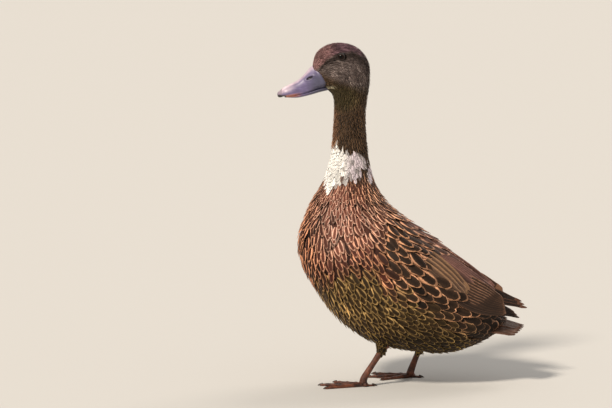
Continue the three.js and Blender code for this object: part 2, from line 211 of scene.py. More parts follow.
def ring(section, angle, square):
    """The point of a section at an angle round it, 0 at the back and a quarter turn on the left.
    Up and side are cosine and sine raised to 2/square, as in a superellipse."""
    back, front = section[..., 0:2], section[..., 2:4]
    half, waist = section[..., 4], section[..., 5]
    up, side = (np.sign(v) * np.abs(v) ** (2 / square) for v in (np.cos(angle), np.sin(angle)))
    share = waist + np.where(up > 0, 1 - waist, waist) * up
    yz = front + (back - front) * share[..., None]
    return np.concatenate([(side * half)[..., None], yz], axis=-1) * MM


def unit(v):
    """Each vector over its own length."""
    return v / np.maximum(np.linalg.norm(v, axis=-1, keepdims=True), 1e-12)


def dot(a, b):
    """The sum of two vectors' products along each axis."""
    return (a * b).sum(-1)


class Form:
    """A surface as a grid of points, with rows along it and columns across it or round it. Places
    on it are given in rows and columns, fractions allowed. The normal of an open one is along
    times across times outward, and that of a closed one points away from its middle."""

    def __init__(self, points, closed, outward=1):
        self.points, self.closed = points, closed
        self.along = np.gradient(points, axis=0)
        wide = np.concatenate([points[:, -2:], points, points[:, :2]], axis=1) if closed else points
        across = np.gradient(wide, axis=1)
        self.across = across[:, 2:-2] if closed else across
        self.normal = unit(np.cross(self.along, self.across))
        if closed:
            outward = np.sign(dot(self.normal, points - points.mean(1, keepdims=True)).sum())
        self.normal = self.normal * outward

    def at(self, i, j, *grids):
        """Each grid between its four nearest points. Past the ends it keeps the last slope."""
        rows, columns = self.points.shape[:2]
        i0 = np.clip(np.floor(i).astype(int), 0, rows - 2)
        fi = np.clip(i - i0, 0, 1)[..., None]
        if self.closed:
            j0 = np.floor(j).astype(int)
            fj = (j - j0)[..., None]
            j0, j1 = j0 % columns, (j0 + 1) % columns
        else:
            j0 = np.clip(np.floor(j).astype(int), 0, columns - 2)
            fj = np.clip(j - j0, 0, 1)[..., None]
            j1 = j0 + 1
        out = [(g[i0, j0] * (1 - fj) + g[i0, j1] * fj) * (1 - fi)
               + (g[i0 + 1, j0] * (1 - fj) + g[i0 + 1, j1] * fj) * fi for g in grids]
        over_i = (i - np.clip(i, 0, rows - 1))[..., None]
        over_j = 0 if self.closed else (j - np.clip(j, 0, columns - 1))[..., None]
        for k, g in enumerate(grids):
            if g is self.points:
                out[k] = out[k] + over_i * self.along[i0, j0] + over_j * self.across[i0, j0]
        return out

    def steps(self, i, j, move):
        """The rows and columns that a small move in space comes to: the least-squares answer of
        rows * along + columns * across = move."""
        along, across = self.at(i, j, self.along, self.across)
        aa, bb, ab = dot(along, along), dot(across, across), dot(along, across)
        ma, mb = dot(move, along), dot(move, across)
        det = np.maximum(aa * bb - ab * ab, 1e-16)
        return (ma * bb - mb * ab) / det, (mb * aa - ma * ab) / det


def wing_bulge(y, z):
    """How far the folded wing swells the flank: a long lens from shoulder to rump, 1 - d^2 across
    it, where d is 1 at its edge."""
    axis = WING_END - WING_START
    away = np.stack([y, z], -1) - WING_START
    s = away @ axis / (axis @ axis)
    d = (away[..., 1] * axis[0] - away[..., 0] * axis[1]) / np.linalg.norm(axis)
    d = d / (34 - 12 * np.clip(s, 0, 1))
    return WING_SWELL * np.clip(1 - d**2, 0, 1) * smooth(s, -0.05, 0.25) * (1 - smooth(s, 0.85, 1.1))


def face_form(x, y, z):
    """Millimetres that the face stands out or in: a brow over the eye, the eye's hollow, a full
    cheek below and behind it, and the fold at the corner of the mouth. Each is a bell, the
    exponential of minus the squared distance from its middle."""
    def bell(cy, cz, ry, rz):
        return np.exp(-(((y - cy) / ry) ** 2 + ((z - cz) / rz) ** 2))
    form = 0.9 * bell(-78, 418.5, 13, 3.4) - 0.9 * bell(-76.3, 409.6, 8, 6)
    form += 0.9 * bell(-66, 394, 16, 13) - 0.8 * bell(-96, 398, 9, 6) - 0.7 * bell(-93, 372, 5, 3)
    return smooth(np.abs(x), 4, 12) * form


t = np.linspace(0, SECTIONS, SECTIONS * BODY_ROWS + 1)
angle = turns(BODY_ROUND)
sections = spline(BODY, t)[:, None, :]
outer = ring(sections, angle[None, :], BODY_SQUARE)
x, y, z = mm(outer)
swell = wing_bulge(y, z) * smooth(np.abs(np.sin(angle)), 0.25, 0.7) + face_form(x, y, z)
out_by = (swell - sections[..., 6]) * MM
body = Form(outer + Form(outer, True).normal * out_by[..., None], True)


def build_piece(name, vertices, faces, material, smooth_faces=None):
    """A mesh object from whole arrays: vertices (n, 3), and a list of (n, sides) face arrays."""
    mesh = bpy.data.meshes.new(name)
    sides = np.concatenate([np.full(len(f), f.shape[1]) for f in faces])
    corners = np.concatenate([f.ravel() for f in faces])
    starts = np.concatenate([[0], np.cumsum(sides)[:-1]])
    shading = np.ones(len(sides), bool) if smooth_faces is None else smooth_faces
    mesh.vertices.add(len(vertices))
    mesh.vertices.foreach_set("co", np.ascontiguousarray(vertices, np.float32).ravel())
    mesh.loops.add(len(corners))
    mesh.loops.foreach_set("vertex_index", corners.astype(np.int32))
    mesh.polygons.add(len(sides))
    mesh.polygons.foreach_set("loop_start", starts.astype(np.int32))
    mesh.polygons.foreach_set("use_smooth", shading)
    mesh.update(calc_edges=True)
    mesh.materials.append(material)
    piece = bpy.data.objects.new(name, mesh)
    bpy.context.collection.objects.link(piece)
    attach(piece, "root")
    return piece


def grid_quads(rows, columns, closed=False):
    """Quads of a grid closed round its columns, and from its last row to its first if closed."""
    i, j = np.meshgrid(np.arange(rows if closed else rows - 1), np.arange(columns), indexing="ij")
    a, b = i * columns + j, i * columns + (j + 1) % columns
    return np.stack([a, b, b + columns, a + columns], -1).reshape(-1, 4) % (rows * columns)


def closed_tube(grid):
    """A tube's vertices and faces: its quads, and a fan of triangles to a centre at each end."""
    rows, columns = grid.shape[:2]
    vertices = np.concatenate([grid.reshape(-1, 3), grid[:1].mean(1), grid[-1:].mean(1)])
    k = np.arange(columns)
    after, last = (k + 1) % columns, (rows - 1) * columns
    start = np.stack([np.full(columns, rows * columns), after, k], -1)
    end = np.stack([np.full(columns, rows * columns + 1), last + k, last + after], -1)
    return vertices, [grid_quads(rows, columns), np.concatenate([start, end])]


def rounded(grid, bends=5, dome=1.0):
    """A tube's grid with rounded ends: each end row is repeated, shrunk by the cosine of an angle
    and pushed out by its sine, times dome and the row's least radius."""
    ends = []
    for row, other in ((grid[0], grid[1]), (grid[-1], grid[-2])):
        centre = row.mean(0)
        push = unit(centre - other.mean(0)) * np.linalg.norm(row - centre, axis=-1).min() * dome
        angle = np.linspace(0, math.pi / 2, bends + 1)[1:-1][:, None, None]
        ends.append(centre + (row - centre) * np.cos(angle) + push * np.sin(angle))
    return np.concatenate([ends[0][::-1], grid, ends[1]])


def facing_out(shell):
    """A shell with its faces turned over if its signed volume is negative."""
    vertices, faces = shell
    volume = 0
    for f in faces:
        for k in range(1, f.shape[1] - 1):
            a, b, c = (vertices[f[:, corner]] for corner in (0, k, k + 1))
            volume += dot(a, np.cross(b, c)).sum()
    return vertices, [f if volume > 0 else f[:, ::-1] for f in faces]


def merge(shells):
    """The vertices and faces of several shells as one, each facing outwards."""
    vertices, faces, offset = [], [], 0
    for v, f in map(facing_out, shells):
        vertices.append(v)
        faces += [g + offset for g in f]
        offset += len(v)
    return np.concatenate(vertices), faces


def set_colours(piece, name, values, alpha=1.0):
    """A named colour at each vertex, with a number in its alpha."""
    layer = piece.data.color_attributes.new(name=name, type="FLOAT_COLOR", domain="POINT")
    filled = np.ones((len(values), 4), np.float32)
    filled[:, :3], filled[:, 3] = values, alpha
    layer.data.foreach_set("color", filled.ravel())


# Markings, as pairs of a feather's middle and its border. Some are painted light rather than plumage:
# the sheen is a painted pink highlight on the breast and shoulder, the forehead's pink is a painted
# highlight, the crown's mauve borders are partly one, and the belly's dark pair is painted shade.
MARKINGS_AND_PAINTED_LIGHT = {name: (linear(middle), linear(border)) for name, middle, border in (
    # The crown's mauve borders are partly a painted highlight, and the forehead's pink is a painted
    # highlight.
    ("crown", "#46343a", "#ad828e"),
    ("lit_forehead", "#7a5553", "#ecb8b2"),
    ("stripe", "#1f1816", "#453b36"),
    ("cheek", "#5a4d49", "#a5968f"),
    ("gape", "#b3a684", "#e4dac0"),
    ("throat", "#39311a", "#62573a"),
    ("neck", "#2c2218", "#745a42"),
    ("neck_front", "#6d442f", "#d29c73"),
    ("white", "#fdfaf2", "#ffffff"),
    ("lilac", "#d6c4cd", "#fff0f4"),
    ("breast", "#50261b", "#ffb488"),
    # A painted highlight: pale pink where the light falls on the breast and shoulder.
    ("sheen", "#84503f", "#ffd0b8"),
    ("lower", "#3d2d16", "#b4925c"),
    # Painted shade: the dark underside.
    ("shaded_belly", "#19140a", "#76612f"),
    ("flank", "#35261b", "#e6aa80"),
    ("mantle", "#6d4a40", "#e2b09a"),
    ("scapular", "#2c201a", "#cf9b7a"),
    ("rump", "#241c15", "#7a5b46"),
    ("vent", "#231b13", "#6f5540"),
)}
# Lines that markings follow in side view, as y and z: where the breast turns dark below, the dark
# line through the eye, how wide that is at each y, and the bib's two edges.
BELLY_EDGE = ((-130, -100, -72, -37, -4, 46, 84, 110), (108, 124, 140, 148, 116, 91, 62, 52))
EYE_LINE = ((-106, -92, -80, -64, -50, -40), (393, 406, 410, 412, 405, 392))
EYE_LINE_WIDTH = ((-106, -90, -70, -50), (2.2, 3.6, 4.8, 7.0))
BIB_TOP = ((-97, -92, -88, -84, -80, -76, -71.5, -57, -48.6, -45),
           (284, 290, 293, 296, 298, 294, 289.5, 289, 285, 278))
BIB_LOW = ((-104, -99, -94.5, -88.8, -80, -74, -66, -57, -50, -46),
           (258, 249, 240.5, 243.5, 254.6, 257.5, 255, 258, 268, 278))


def patch(y, z, cy, cz, ry, rz, edge=0.35):
    """1 inside an ellipse about (cy, cz), and 0 outside it."""
    r = np.sqrt(((y - cy) / ry) ** 2 + ((z - cz) / rz) ** 2)
    return 1 - smooth(r, 1 - edge, 1 + edge)


def torn_step(x, edge, soft, wobble):
    """From 0 to 1 over soft millimetres each side of an edge, which is moved by a wobble."""
    return smooth(x, edge - soft + wobble, edge + soft + wobble)


def clouds(places, rng, size, waves=7):
    """A soft random pattern of about unit spread: the sum of some cosines in random directions."""
    ways = rng.normal(0, 1, (waves, 3)) * 2 * math.pi / (size * MM)
    return np.cos(places @ ways.T + rng.random(waves) * 2 * math.pi).sum(1) * math.sqrt(2 / waves)


def markings_and_painted_light(places, rng):
    """The middle and border colours of a feather at each place, painted highlights and shade included.
    Each marking is laid over those before it, by a share from 0 to 1 that depends on the place in side
    view, in millimetres."""
    _, y, z = mm(places)
    n = len(places)
    wobble = rng.normal(0, 1, (4, n))
    low_edge, line = np.interp(y, *BELLY_EDGE), np.interp(y, *EYE_LINE)
    lower = torn_step(low_edge - z, 0, 12, 6 * wobble[1])
    below_back = 1 - smooth(z + 0.86 * y, 196, 210)
    neck = smooth(z, 283, 292) * (1 - smooth(z, 352, 362))
    head = smooth(z + 0.45 * (y + 60), 366, 378)
    # The bib is mottled behind, with torn edges, some dark feathers and a streak that stands apart.
    bib = torn_step(z, np.interp(y, *BIB_LOW), 1.5, 2.2 * wobble[2])
    bib *= 1 - torn_step(z, np.interp(y, *BIB_TOP), 1.5, 2.0 * wobble[3])
    behind = smooth(y, -78, -62)
    bib *= np.where(rng.random(n) < 0.01 + 0.12 * behind, 0.35, 1)
    bib *= 1 - 0.75 * behind * smooth(clouds(places, rng, 9), 0.3, 1.1)
    bib = np.maximum(bib, patch(y, z, -41.5, 262, 3.0, 11, 0.3))
    layers = (
        # Body, from the neck root down to the belly and back to the rump.
        ("breast", torn_step(-z, -249, 13, 4 * wobble[0])),
        ("mantle", smooth(z + 0.82 * y, 204, 222) * smooth(-z, -262, -240)),
        # Painted highlight: the sheen is a pale pink wash where the light falls on the breast and the
        # shoulder.
        ("sheen", np.maximum(patch(y, z, -84, 204, 26, 46, 0.7),
                             0.7 * patch(y, z, -44, 208, 32, 36, 0.7))),
        ("flank", smooth(y + 0.35 * (z - 150), -34, -6) * smooth(-z, -262, -222)),
        # Painted highlight again, over the shoulder.
        ("sheen", 0.5 * patch(y, z, -34, 208, 22, 24, 0.6)),
        ("scapular", 0.6 * patch(y, z, -34, 240, 16, 28, 0.5)),
        ("lower", lower),
        # Painted shade: the underside turns darker towards the bottom, where the body shades it.
        ("shaded_belly", smooth(-z, -84, -44) * 0.85),
        ("mantle", smooth(z + 0.86 * y, 198, 214) * smooth(y, -34, 0) * 0.85),
        ("scapular", smooth(z + 0.84 * y, 168, 184) * below_back * smooth(y, 4, 22)),
        ("rump", smooth(y, 84, 104) * smooth(z, 70, 84)),
        ("vent", smooth(y, 70, 100) * (1 - smooth(z, 62, 84))),
        # Neck front and throat.
        ("neck_front", neck * smooth(-y, 78, 88) * 0.8),
        ("throat", patch(y, z, -78, 360, 22, 16, 0.5)),
        # Head: a dark line runs from the bill through the eye to the nape. Above it lie the forehead,
        # whose pink is a painted highlight, and the dark crown, whose mauve borders are partly a
        # painted highlight. Below it lies the cheek, with a cream streak at the mouth.
        ("cheek", head),
        ("throat", head * (1 - smooth(z + 0.1 * y, 360, 371)) * 0.85),
        ("crown", smooth(z - line, 2.5, 6.5) * head),
        # Painted highlight: the forehead's pink.
        ("lit_forehead", smooth(z - line, 1, 5) * smooth(-y + 2 * wobble[0], 78, 98) * 0.9),
        ("stripe", np.exp(-((z - line) / np.interp(y, *EYE_LINE_WIDTH)) ** 2) * 0.92 * head),
        ("stripe", head * smooth(y, -56, -44) * 0.6),
        ("gape", patch(y, z, -89.5, 372.8, 6, 1.5, 0.5) * 0.85),
        # The bib: white in front and lilac grey behind.
        ("white", bib),
        ("lilac", bib * behind * 0.85),
    )
    middle, border = (np.repeat(colour[None], n, 0) for colour in MARKINGS_AND_PAINTED_LIGHT["neck"])
    for name, share in layers:
        middle, border = (under + (over - under) * share[:, None]
                          for under, over in zip((middle, border), MARKINGS_AND_PAINTED_LIGHT[name]))
    tone = np.exp(rng.normal(0, 0.10, n) + 0.10 * clouds(places, rng, 40))
    # On the breast some feathers are nearly all dark, and the borders' brightness comes and goes.
    brown = smooth(265 - z, 0, 20)
    fleck = rng.random(n) < (0.06 + 0.16 * smooth(-y, 84, 104)) * (brown * (1 - lower))
    shine = (rng.normal(0, 0.24, n) + 0.2 * clouds(places, rng, 24)) * brown
    # The head's small feathers lie in streaks.
    drawn_out = places * (1, 0.3, 1)
    streaks = clouds(drawn_out, rng, 4.5) + 0.6 * clouds(drawn_out, rng, 8)
    shine = np.exp(shine + 0.22 * head * streaks)
    tone = tone * np.exp(0.12 * head * streaks)
    # The breast's middles are darker in front, and a dark belt runs just over the belly's edge.
    spotted = 1 - 0.45 * smooth(-y, 90, 108) * smooth(250 - z, 0, 20)
    tone = tone * (1 - 0.3 * np.exp(-((z - low_edge - 6) / 12) ** 2) * smooth(-y, 16, 44))
    middle = middle * tone[:, None] * np.where(fleck, 0.35, 1)[:, None] * spotted[:, None]
    border = border * tone[:, None] * shine[:, None] * np.where(fleck, 0.5, 1)[:, None]
    return middle, border / np.maximum(border.max(1, keepdims=True), 1)


def ramp(tree, value, start=0.0, end=1.0, low=0.0, high=1.0, **settings):
    """A number that goes from low to high while a value goes from start to end."""
    return node(tree, "MapRange", {"Value": value, "From Min": start, "From Max": end,
                                   "To Min": low, "To Max": high}, **settings).outputs[0]


def scaled(tree, colour, by):
    """A colour times a number."""
    return node(tree, "VectorMath", {0: colour, "Scale": by}, operation="SCALE").outputs[0]


def noise(tree, scale, detail=2.0):
    """Noise fixed to the object, with scale cells to the metre."""
    where = node(tree, "TexCoord").outputs["Object"]
    return node(tree, "TexNoise", {"Vector": where, "Scale": scale, "Detail": detail}).outputs[0]


def cells(tree, scale, **settings):
    """The distance within cells fixed to the object, with scale cells to the metre."""
    where = node(tree, "TexCoord").outputs["Object"]
    return node(tree, "TexVoronoi", {"Vector": where, "Scale": scale}, **settings).outputs["Distance"]


def shade(tree, shader, colour, by):
    """Gives a surface its base colour, lightened or darkened by a number."""
    tree.links.new(scaled(tree, colour, by), shader.inputs["Base Color"])


skin_material, tree, shader = new_material(
    "thin_skin_and_down", Roughness=0.8, Specular_IOR_Level=0.25)
# Thin skin is matt, pimpled at each feather root about 3 mm apart, and clothed in fine down.
tint = node(tree, "Attribute", attribute_name="Middle").outputs["Color"]
shade(tree, shader, tint, ramp(tree, noise(tree, 700.0, 4.0), low=0.35, high=0.75))
raise_bumps(tree, shader, cells(tree, 320.0), 0.4, 0.0005)


def rod(centres, radii, rows, columns, flat=1.0):
    """A tube through some centres. Its rings lie across the line, thinner fore and aft by flat."""
    t = np.linspace(0, len(centres) - 1, rows)
    line, radius = spline(centres, t), spline(np.array(radii, float)[:, None], t)
    ahead = unit(np.gradient(line, axis=0))
    side = unit(np.cross(ahead, (0, 1, 0)))
    fore = np.cross(side, ahead)
    a = turns(columns)[None, :, None]
    around = np.cos(a) * side[:, None] + np.sin(a) * fore[:, None] * flat
    return line[:, None] + around * radius[:, None]


# The thighs hang from the belly to feathered cuffs over the hocks. For each leg: its side, the
# hock's and the ankle's y and z, the toes' turn inwards, and the cuff's height.
LEGS = {"left": (1, (-22, 52), (-50, 9), 0.1, 44), "right": (-1, (29, 52), (11, 9), 0.06, 35)}
HOCK_OUT = 28
ANKLE_OUT = 33
THIGH_TOP = 40  # the hip's height over the hock
THIGH_RADII = (17.0, 11.8, 6.6)
THIGH_COAT = 2.5
SKIN_GRAIN = 0.0017  # the fine grid's step


def thigh(sign, hock, ankle, cuff):
    """A thigh's tube, by the coat's depth inside its outer shape, from the hip down to the cuff."""
    y, z = hock
    down = y + (ankle[0] - y) * (z - cuff) / (z - ankle[1])
    centres = np.array([(HOCK_OUT + 2, y - 12, z + THIGH_TOP), (HOCK_OUT, y - 4, z + THIGH_TOP * 0.4),
                        (HOCK_OUT, down, cuff)]) * (sign, 1, 1)
    return rod(centres, np.array(THIGH_RADII) - THIGH_COAT, 60, 72) * MM


thighs = [Form(thigh(sign, hock, ankle, cuff), True) for sign, hock, ankle, _, cuff in LEGS.values()]
# The body and the thighs are grown together into one closed skin on a fine grid.
shells = [closed_tube(rounded(body.points[::2, ::2], dome=0.3))]
shells += [closed_tube(rounded(form.points, dome=0.5)) for form in thighs]
rough = build_piece("rough_skin", *merge(shells), skin_material)
grown = rough.modifiers.new("grown", "REMESH")
grown.mode, grown.voxel_size, grown.use_smooth_shade = "VOXEL", SKIN_GRAIN, True
settled = rough.modifiers.new("settled", "SMOOTH")
settled.factor, settled.iterations = 0.5, 3
mesh = bpy.data.meshes.new_from_object(rough.evaluated_get(bpy.context.evaluated_depsgraph_get()))
vertices = np.empty(len(mesh.vertices) * 3, np.float32)
mesh.vertices.foreach_get("co", vertices)
vertices = vertices.reshape(-1, 3).astype(float)
faces = np.empty(len(mesh.loops), np.int32)
mesh.loops.foreach_get("vertex_index", faces)
bpy.data.objects.remove(rough)
skin = build_piece("skin", vertices, [faces.reshape(-1, 4)], skin_material)
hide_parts("head", "neck", "trunk", "thigh_left", "thigh_right")
rng = np.random.default_rng(11)
set_colours(skin, "Middle", markings_and_painted_light(vertices, rng)[0] * 0.6)


# ---- Contour feathers ----
# Small overlapping vanes of barbs on a shaft, each rooted in the skin and lying back towards the
# tail, so only the rounded outer third shows. The border is paler than the middle. They are
# finest on the face, and grow to broad scales on the flanks.

def maths(tree, operation, *values, kind="Math"):
    """A sum of numbers, or of vectors with the kind VectorMath."""
    return node(tree, kind, dict(enumerate(values)), operation=operation).outputs[0]


def blend(tree, share, low, high):
    """The colour that lies a share of the way from low to high."""
    return node(tree, "Mix", {"Factor": share, 6: low, 7: high}, data_type="RGBA").outputs[2]


def feather_material(name, barb_lines=45.0, shaft=0.0, **surface):
    """Feather barbs: keratin threads set close on a shaft, which give a soft sheen along the vane
    and fine slanting lines. The real lines are 0.3 mm apart, so here they are drawn 3 times as
    coarse to show."""
    material, tree, shader = new_material(name, **surface)
    part = node(tree, "SeparateXYZ", {"Vector": node(tree, "UVMap", uv_map="Vane").outputs[0]})
    down = part.outputs["X"]
    middle = node(tree, "Attribute", attribute_name="Middle").outputs
    border = node(tree, "Attribute", attribute_name="Border").outputs
    # Across the vane from -1 to 1, and its size.
    across = maths(tree, "MULTIPLY_ADD", part.outputs["Y"], 2.0, -1.0)
    edge = maths(tree, "ABSOLUTE", across)
    # Barbs run out from the shaft and towards the tip, and hold together in clumps.
    slant = maths(tree, "MULTIPLY_ADD", edge, -0.22, down)
    lines = node(tree, "CombineXYZ", {"X": across, "Y": slant, "Z": border["Alpha"]}).outputs[0]
    threads = []
    for fineness, detail in ((barb_lines, 2.0), (barb_lines / 4, 1.0)):
        drawn = maths(tree, "MULTIPLY", lines, (1.6, fineness, 40.0), kind="VectorMath")
        pattern = node(tree, "TexNoise", {"Vector": drawn, "Scale": 1.0, "Detail": detail})
        threads.append(pattern.outputs[0])
    barbs = threads[0]
    # The border follows the edges and the tip. Its start is held in the middle colour's alpha.
    rim = maths(tree, "MAXIMUM", edge, ramp(tree, down, start=0.76))
    rough_rim = maths(tree, "MULTIPLY_ADD", maths(tree, "ADD", *threads), 0.17, rim)
    past = maths(tree, "SUBTRACT", rough_rim, middle["Alpha"])
    mask = ramp(tree, past, 0.10, 0.28, interpolation_type="SMOOTHSTEP")
    # The middle is darkest along the shaft.
    shaded = scaled(tree, middle["Color"], ramp(tree, rim, 0.1, 0.8, 0.5, 1.3))
    colour = blend(tree, mask, shaded, border["Color"])
    tinted = scaled(tree, colour, ramp(tree, barbs, 0.28, 0.72, 0.66, 1.34))
    height = barbs
    if shaft:
        # A pale ridge down the middle.
        quill = ramp(tree, edge, shaft, 0.0, 0.0, 0.45, interpolation_type="SMOOTHSTEP")
        tinted = blend(tree, quill, tinted, border["Color"])
        height = maths(tree, "MULTIPLY_ADD", quill, 1.5, barbs)
    tree.links.new(tinted, shader.inputs["Base Color"])
    raise_bumps(tree, shader, height, 0.5, 0.0004)
    return material


contour_vane = feather_material(
    "contour_feather_barbs", Roughness=0.6, Specular_IOR_Level=0.13,
    Sheen_Weight=0.09, Sheen_Roughness=0.4, Sheen_Tint=rgba("#ffc4aa"))


def vane_faces(rows, columns):
    """Faces of one closed vane on a grid of rows and columns. Quads above, one strip of quads
    below from edge to edge, and a cap at the root and at the tip. Returns them by side count."""
    i, j = np.meshgrid(np.arange(rows - 1), np.arange(columns - 1), indexing="ij")
    a = (i * columns + j).ravel()
    top = np.stack([a, a + columns, a + columns + 1, a + 1], -1)
    k = np.arange(rows - 1) * columns
    under = np.stack([k, k + columns - 1, k + 2 * columns - 1, k + columns], -1)
    root = np.arange(columns)[None]
    tip = ((rows - 1) * columns + np.arange(columns))[None, ::-1]
    return top, under, root, tip


PATCH = 0.003  # a feather's size on the baked map
ROOT_RISE = 0.12  # a root's height over the skin, as a share of the coat's depth
TILT = 0.05  # random spread of a feather's roll, as a slope
RAISED = 0.12  # random spread of a tip's height, as a share of the coat's depth


def vane_width(s, root_width, widest, full_to, blunt):
    """A vane's half width along it: a quarter sine from root_width to 1 at widest, then a smooth
    fall from full_to on to blunt at the tip."""
    width = root_width + (1 - root_width) * np.sin(np.minimum(s / widest, 1) * math.pi / 2)
    return width * (1 - (1 - blunt) * smooth(s, full_to, 1))


def lay_vanes(form, i, j, length, half, colours, rng, depth, rows=5, columns=5, yaw=0.0, camber=0.2,
              rounding=1.15, widest=0.55, blunt=0.82, lift=0.0, ragged=0.07, jitter=0.06):
    """Feathers rooted at places (i, j) of a form, each a grid of rows and columns. The shaft steps
    along the form in the lie's direction, turned by yaw, and each row bows away from the tip by
    rounding * across^2. Height over the skin goes from a little to all of the coat's depth, less
    camber * across^2."""
    n = len(i)
    root = (i, j)
    i, j = i.astype(float).copy(), j.astype(float).copy()
    s = np.linspace(0, 1, rows) ** 0.85
    w = np.linspace(-1, 1, columns)
    width = vane_width(s, 0.4, widest, widest, blunt)
    tilt = rng.normal(0, TILT, n)
    raised = rng.normal(0, RAISED, n)
    yaw = yaw + rng.normal(0, jitter, n)
    points = np.zeros((n, rows, columns, 3))
    step = 0.0
    for r in range(rows):
        along, normal = form.at(i, j, form.along, form.normal)
        ahead = unit(along)
        side = np.cross(normal, ahead)
        lie = unit(ahead * np.cos(yaw)[:, None] + side * np.sin(yaw)[:, None])
        cross = np.cross(normal, lie)
        if r:
            di, dj = form.steps(i, j, lie * ((s[r] - step) * length)[:, None])
            i, j = i + di, j + dj
        step = s[r]
        torn = 1 + rng.normal(0, ragged, (n, columns)) * s[r]
        out = (half * width[r])[:, None] * w * torn
        back = -rounding * half[:, None] * w**2 * (0.2 + 0.8 * s[r]) * torn
        move = cross[:, None] * out[..., None] + lie[:, None] * back[..., None]
        ii, jj = np.repeat(i[:, None], columns, 1), np.repeat(j[:, None], columns, 1)
        di, dj = form.steps(ii, jj, move)
        place, up = form.at(ii + di, jj + dj, form.points, form.normal)
        here = np.clip(s[r] + back / length[:, None], 0, 1)
        rise = (ROOT_RISE + (1 - ROOT_RISE) * here**0.8 + raised[:, None] * here) * depth[:, None]
        rise = rise + np.reshape(lift * np.ones(n), (-1, 1))
        height = rise - camber * half[:, None] * w**2 + tilt[:, None] * out
        points[:, r] = place + up * height[..., None]
    return bundle(points, form, root, colours, s, w, rng)


def bundle(points, form, root, colours, s, w, rng):
    """A set of vanes from their points (n, rows, columns, 3), with the numbers that their faces,
    colours and maps are made from."""
    n, rows, columns = points.shape[:3]
    first = (np.arange(n) * rows * columns)[:, None, None]
    tall, wide = form.points.shape[:2]
    across = root[1] % wide if form.closed else np.clip(root[1], 0, wide - 1)
    root_uv = 0.02 + 0.96 * np.stack([across / wide, np.clip(root[0], 0, tall - 1) / (tall - 1)], -1)
    return {"points": points.reshape(-1, 3), "colours": colours, "each": rows * columns,
            "groups": [(f[None] + first).reshape(-1, f.shape[1]) for f in vane_faces(rows, columns)],
            "s": np.tile(np.repeat(s, columns), n), "w": np.tile(np.tile(w, rows), n),
            "root": np.repeat(root_uv, rows * columns, 0),
            "grain": np.repeat(rng.random(n), rows * columns)}


def vane_piece(name, material, slot, *sets):
    """One mesh of some sets of vanes, with their colours and two maps: Vane runs along and across
    each feather, and OFBake keeps it a small patch at its root's place on the skin."""
    offset, faces, smooth_faces = 0, [], []
    for vanes in sets:
        for k, group in enumerate(vanes["groups"]):
            faces.append(group + offset)
            smooth_faces.append(np.full(len(group), k == 0))
        offset += len(vanes["points"])
    gather = lambda key: np.concatenate([vanes[key] for vanes in sets])
    piece = build_piece(name, gather("points"), faces, material, np.concatenate(smooth_faces))
    corners = np.concatenate([f.ravel() for f in faces])
    s, w, root = gather("s")[corners], gather("w")[corners], gather("root")[corners]
    small = PATCH * np.stack([w * 0.5, s - 0.5], -1)
    for title, places in (("Vane", np.stack([s, w * 0.5 + 0.5], -1)), ("OFBake", root + small)):
        layer = piece.data.uv_layers.new(name=title)
        layer.uv.foreach_set("vector", places.astype(np.float32).ravel())
    middle, border, start = (np.concatenate([np.repeat(v["colours"][k], v["each"], 0) for v in sets])
                             for k in range(3))
    set_colours(piece, "Middle", middle, start)
    set_colours(piece, "Border", border, gather("grain"))
    return piece


# Millimetres between feather roots by section number: across the lie, and along it.
SPACING = np.array([
    (0, 1.1, 1.5), (1, 1.2, 1.7), (3, 1.4, 2.1), (6, 1.6, 2.5), (8, 1.8, 3.0), (10, 2.1, 3.5),
    (11.5, 3.2, 5.2), (13, 5.3, 8.2), (15, 5.6, 7.4), (17, 5.4, 6.2), (19, 5.0, 6.0), (21, 4.2, 5.2),
]).T
# Below this line, as y and z, the flank's broad scales give way to the belly's feathers.
SCALES_EDGE = ((-60, -37, -4, 46, 84), (178, 148, 116, 91, 62))
# By section number: a feather's length over the spacing along, and its half width over that across.
GROWTH = np.array([
    (0, 2.3, 0.7), (2, 2.4, 0.7), (6, 2.7, 0.72), (9, 2.9, 0.78), (11, 2.9, 0.78), (13, 2.2, 0.82),
    (16, 2.4, 0.84), (19, 2.8, 0.8), (21, 3.3, 0.72),
]).T


def spacing(t, y, z):
    """Millimetres between feather roots, across the lie and along it, by section number and place.
    They are wider on the flank and under the wing."""
    across, along = (np.interp(t, SPACING[0], row) for row in SPACING[1:])
    edge = np.interp(y, *SCALES_EDGE)
    flank = smooth(y, -50, -10) * smooth(z - edge, -8, 14) * smooth(-z, -225, -195)
    wing = np.clip(wing_bulge(y, z) / 3.0, 0, 1) * smooth(y, -10, 20)
    return np.stack([across + 3.4 * flank + 1.4 * wing, along + 3.0 * flank + 3.2 * wing], -1)


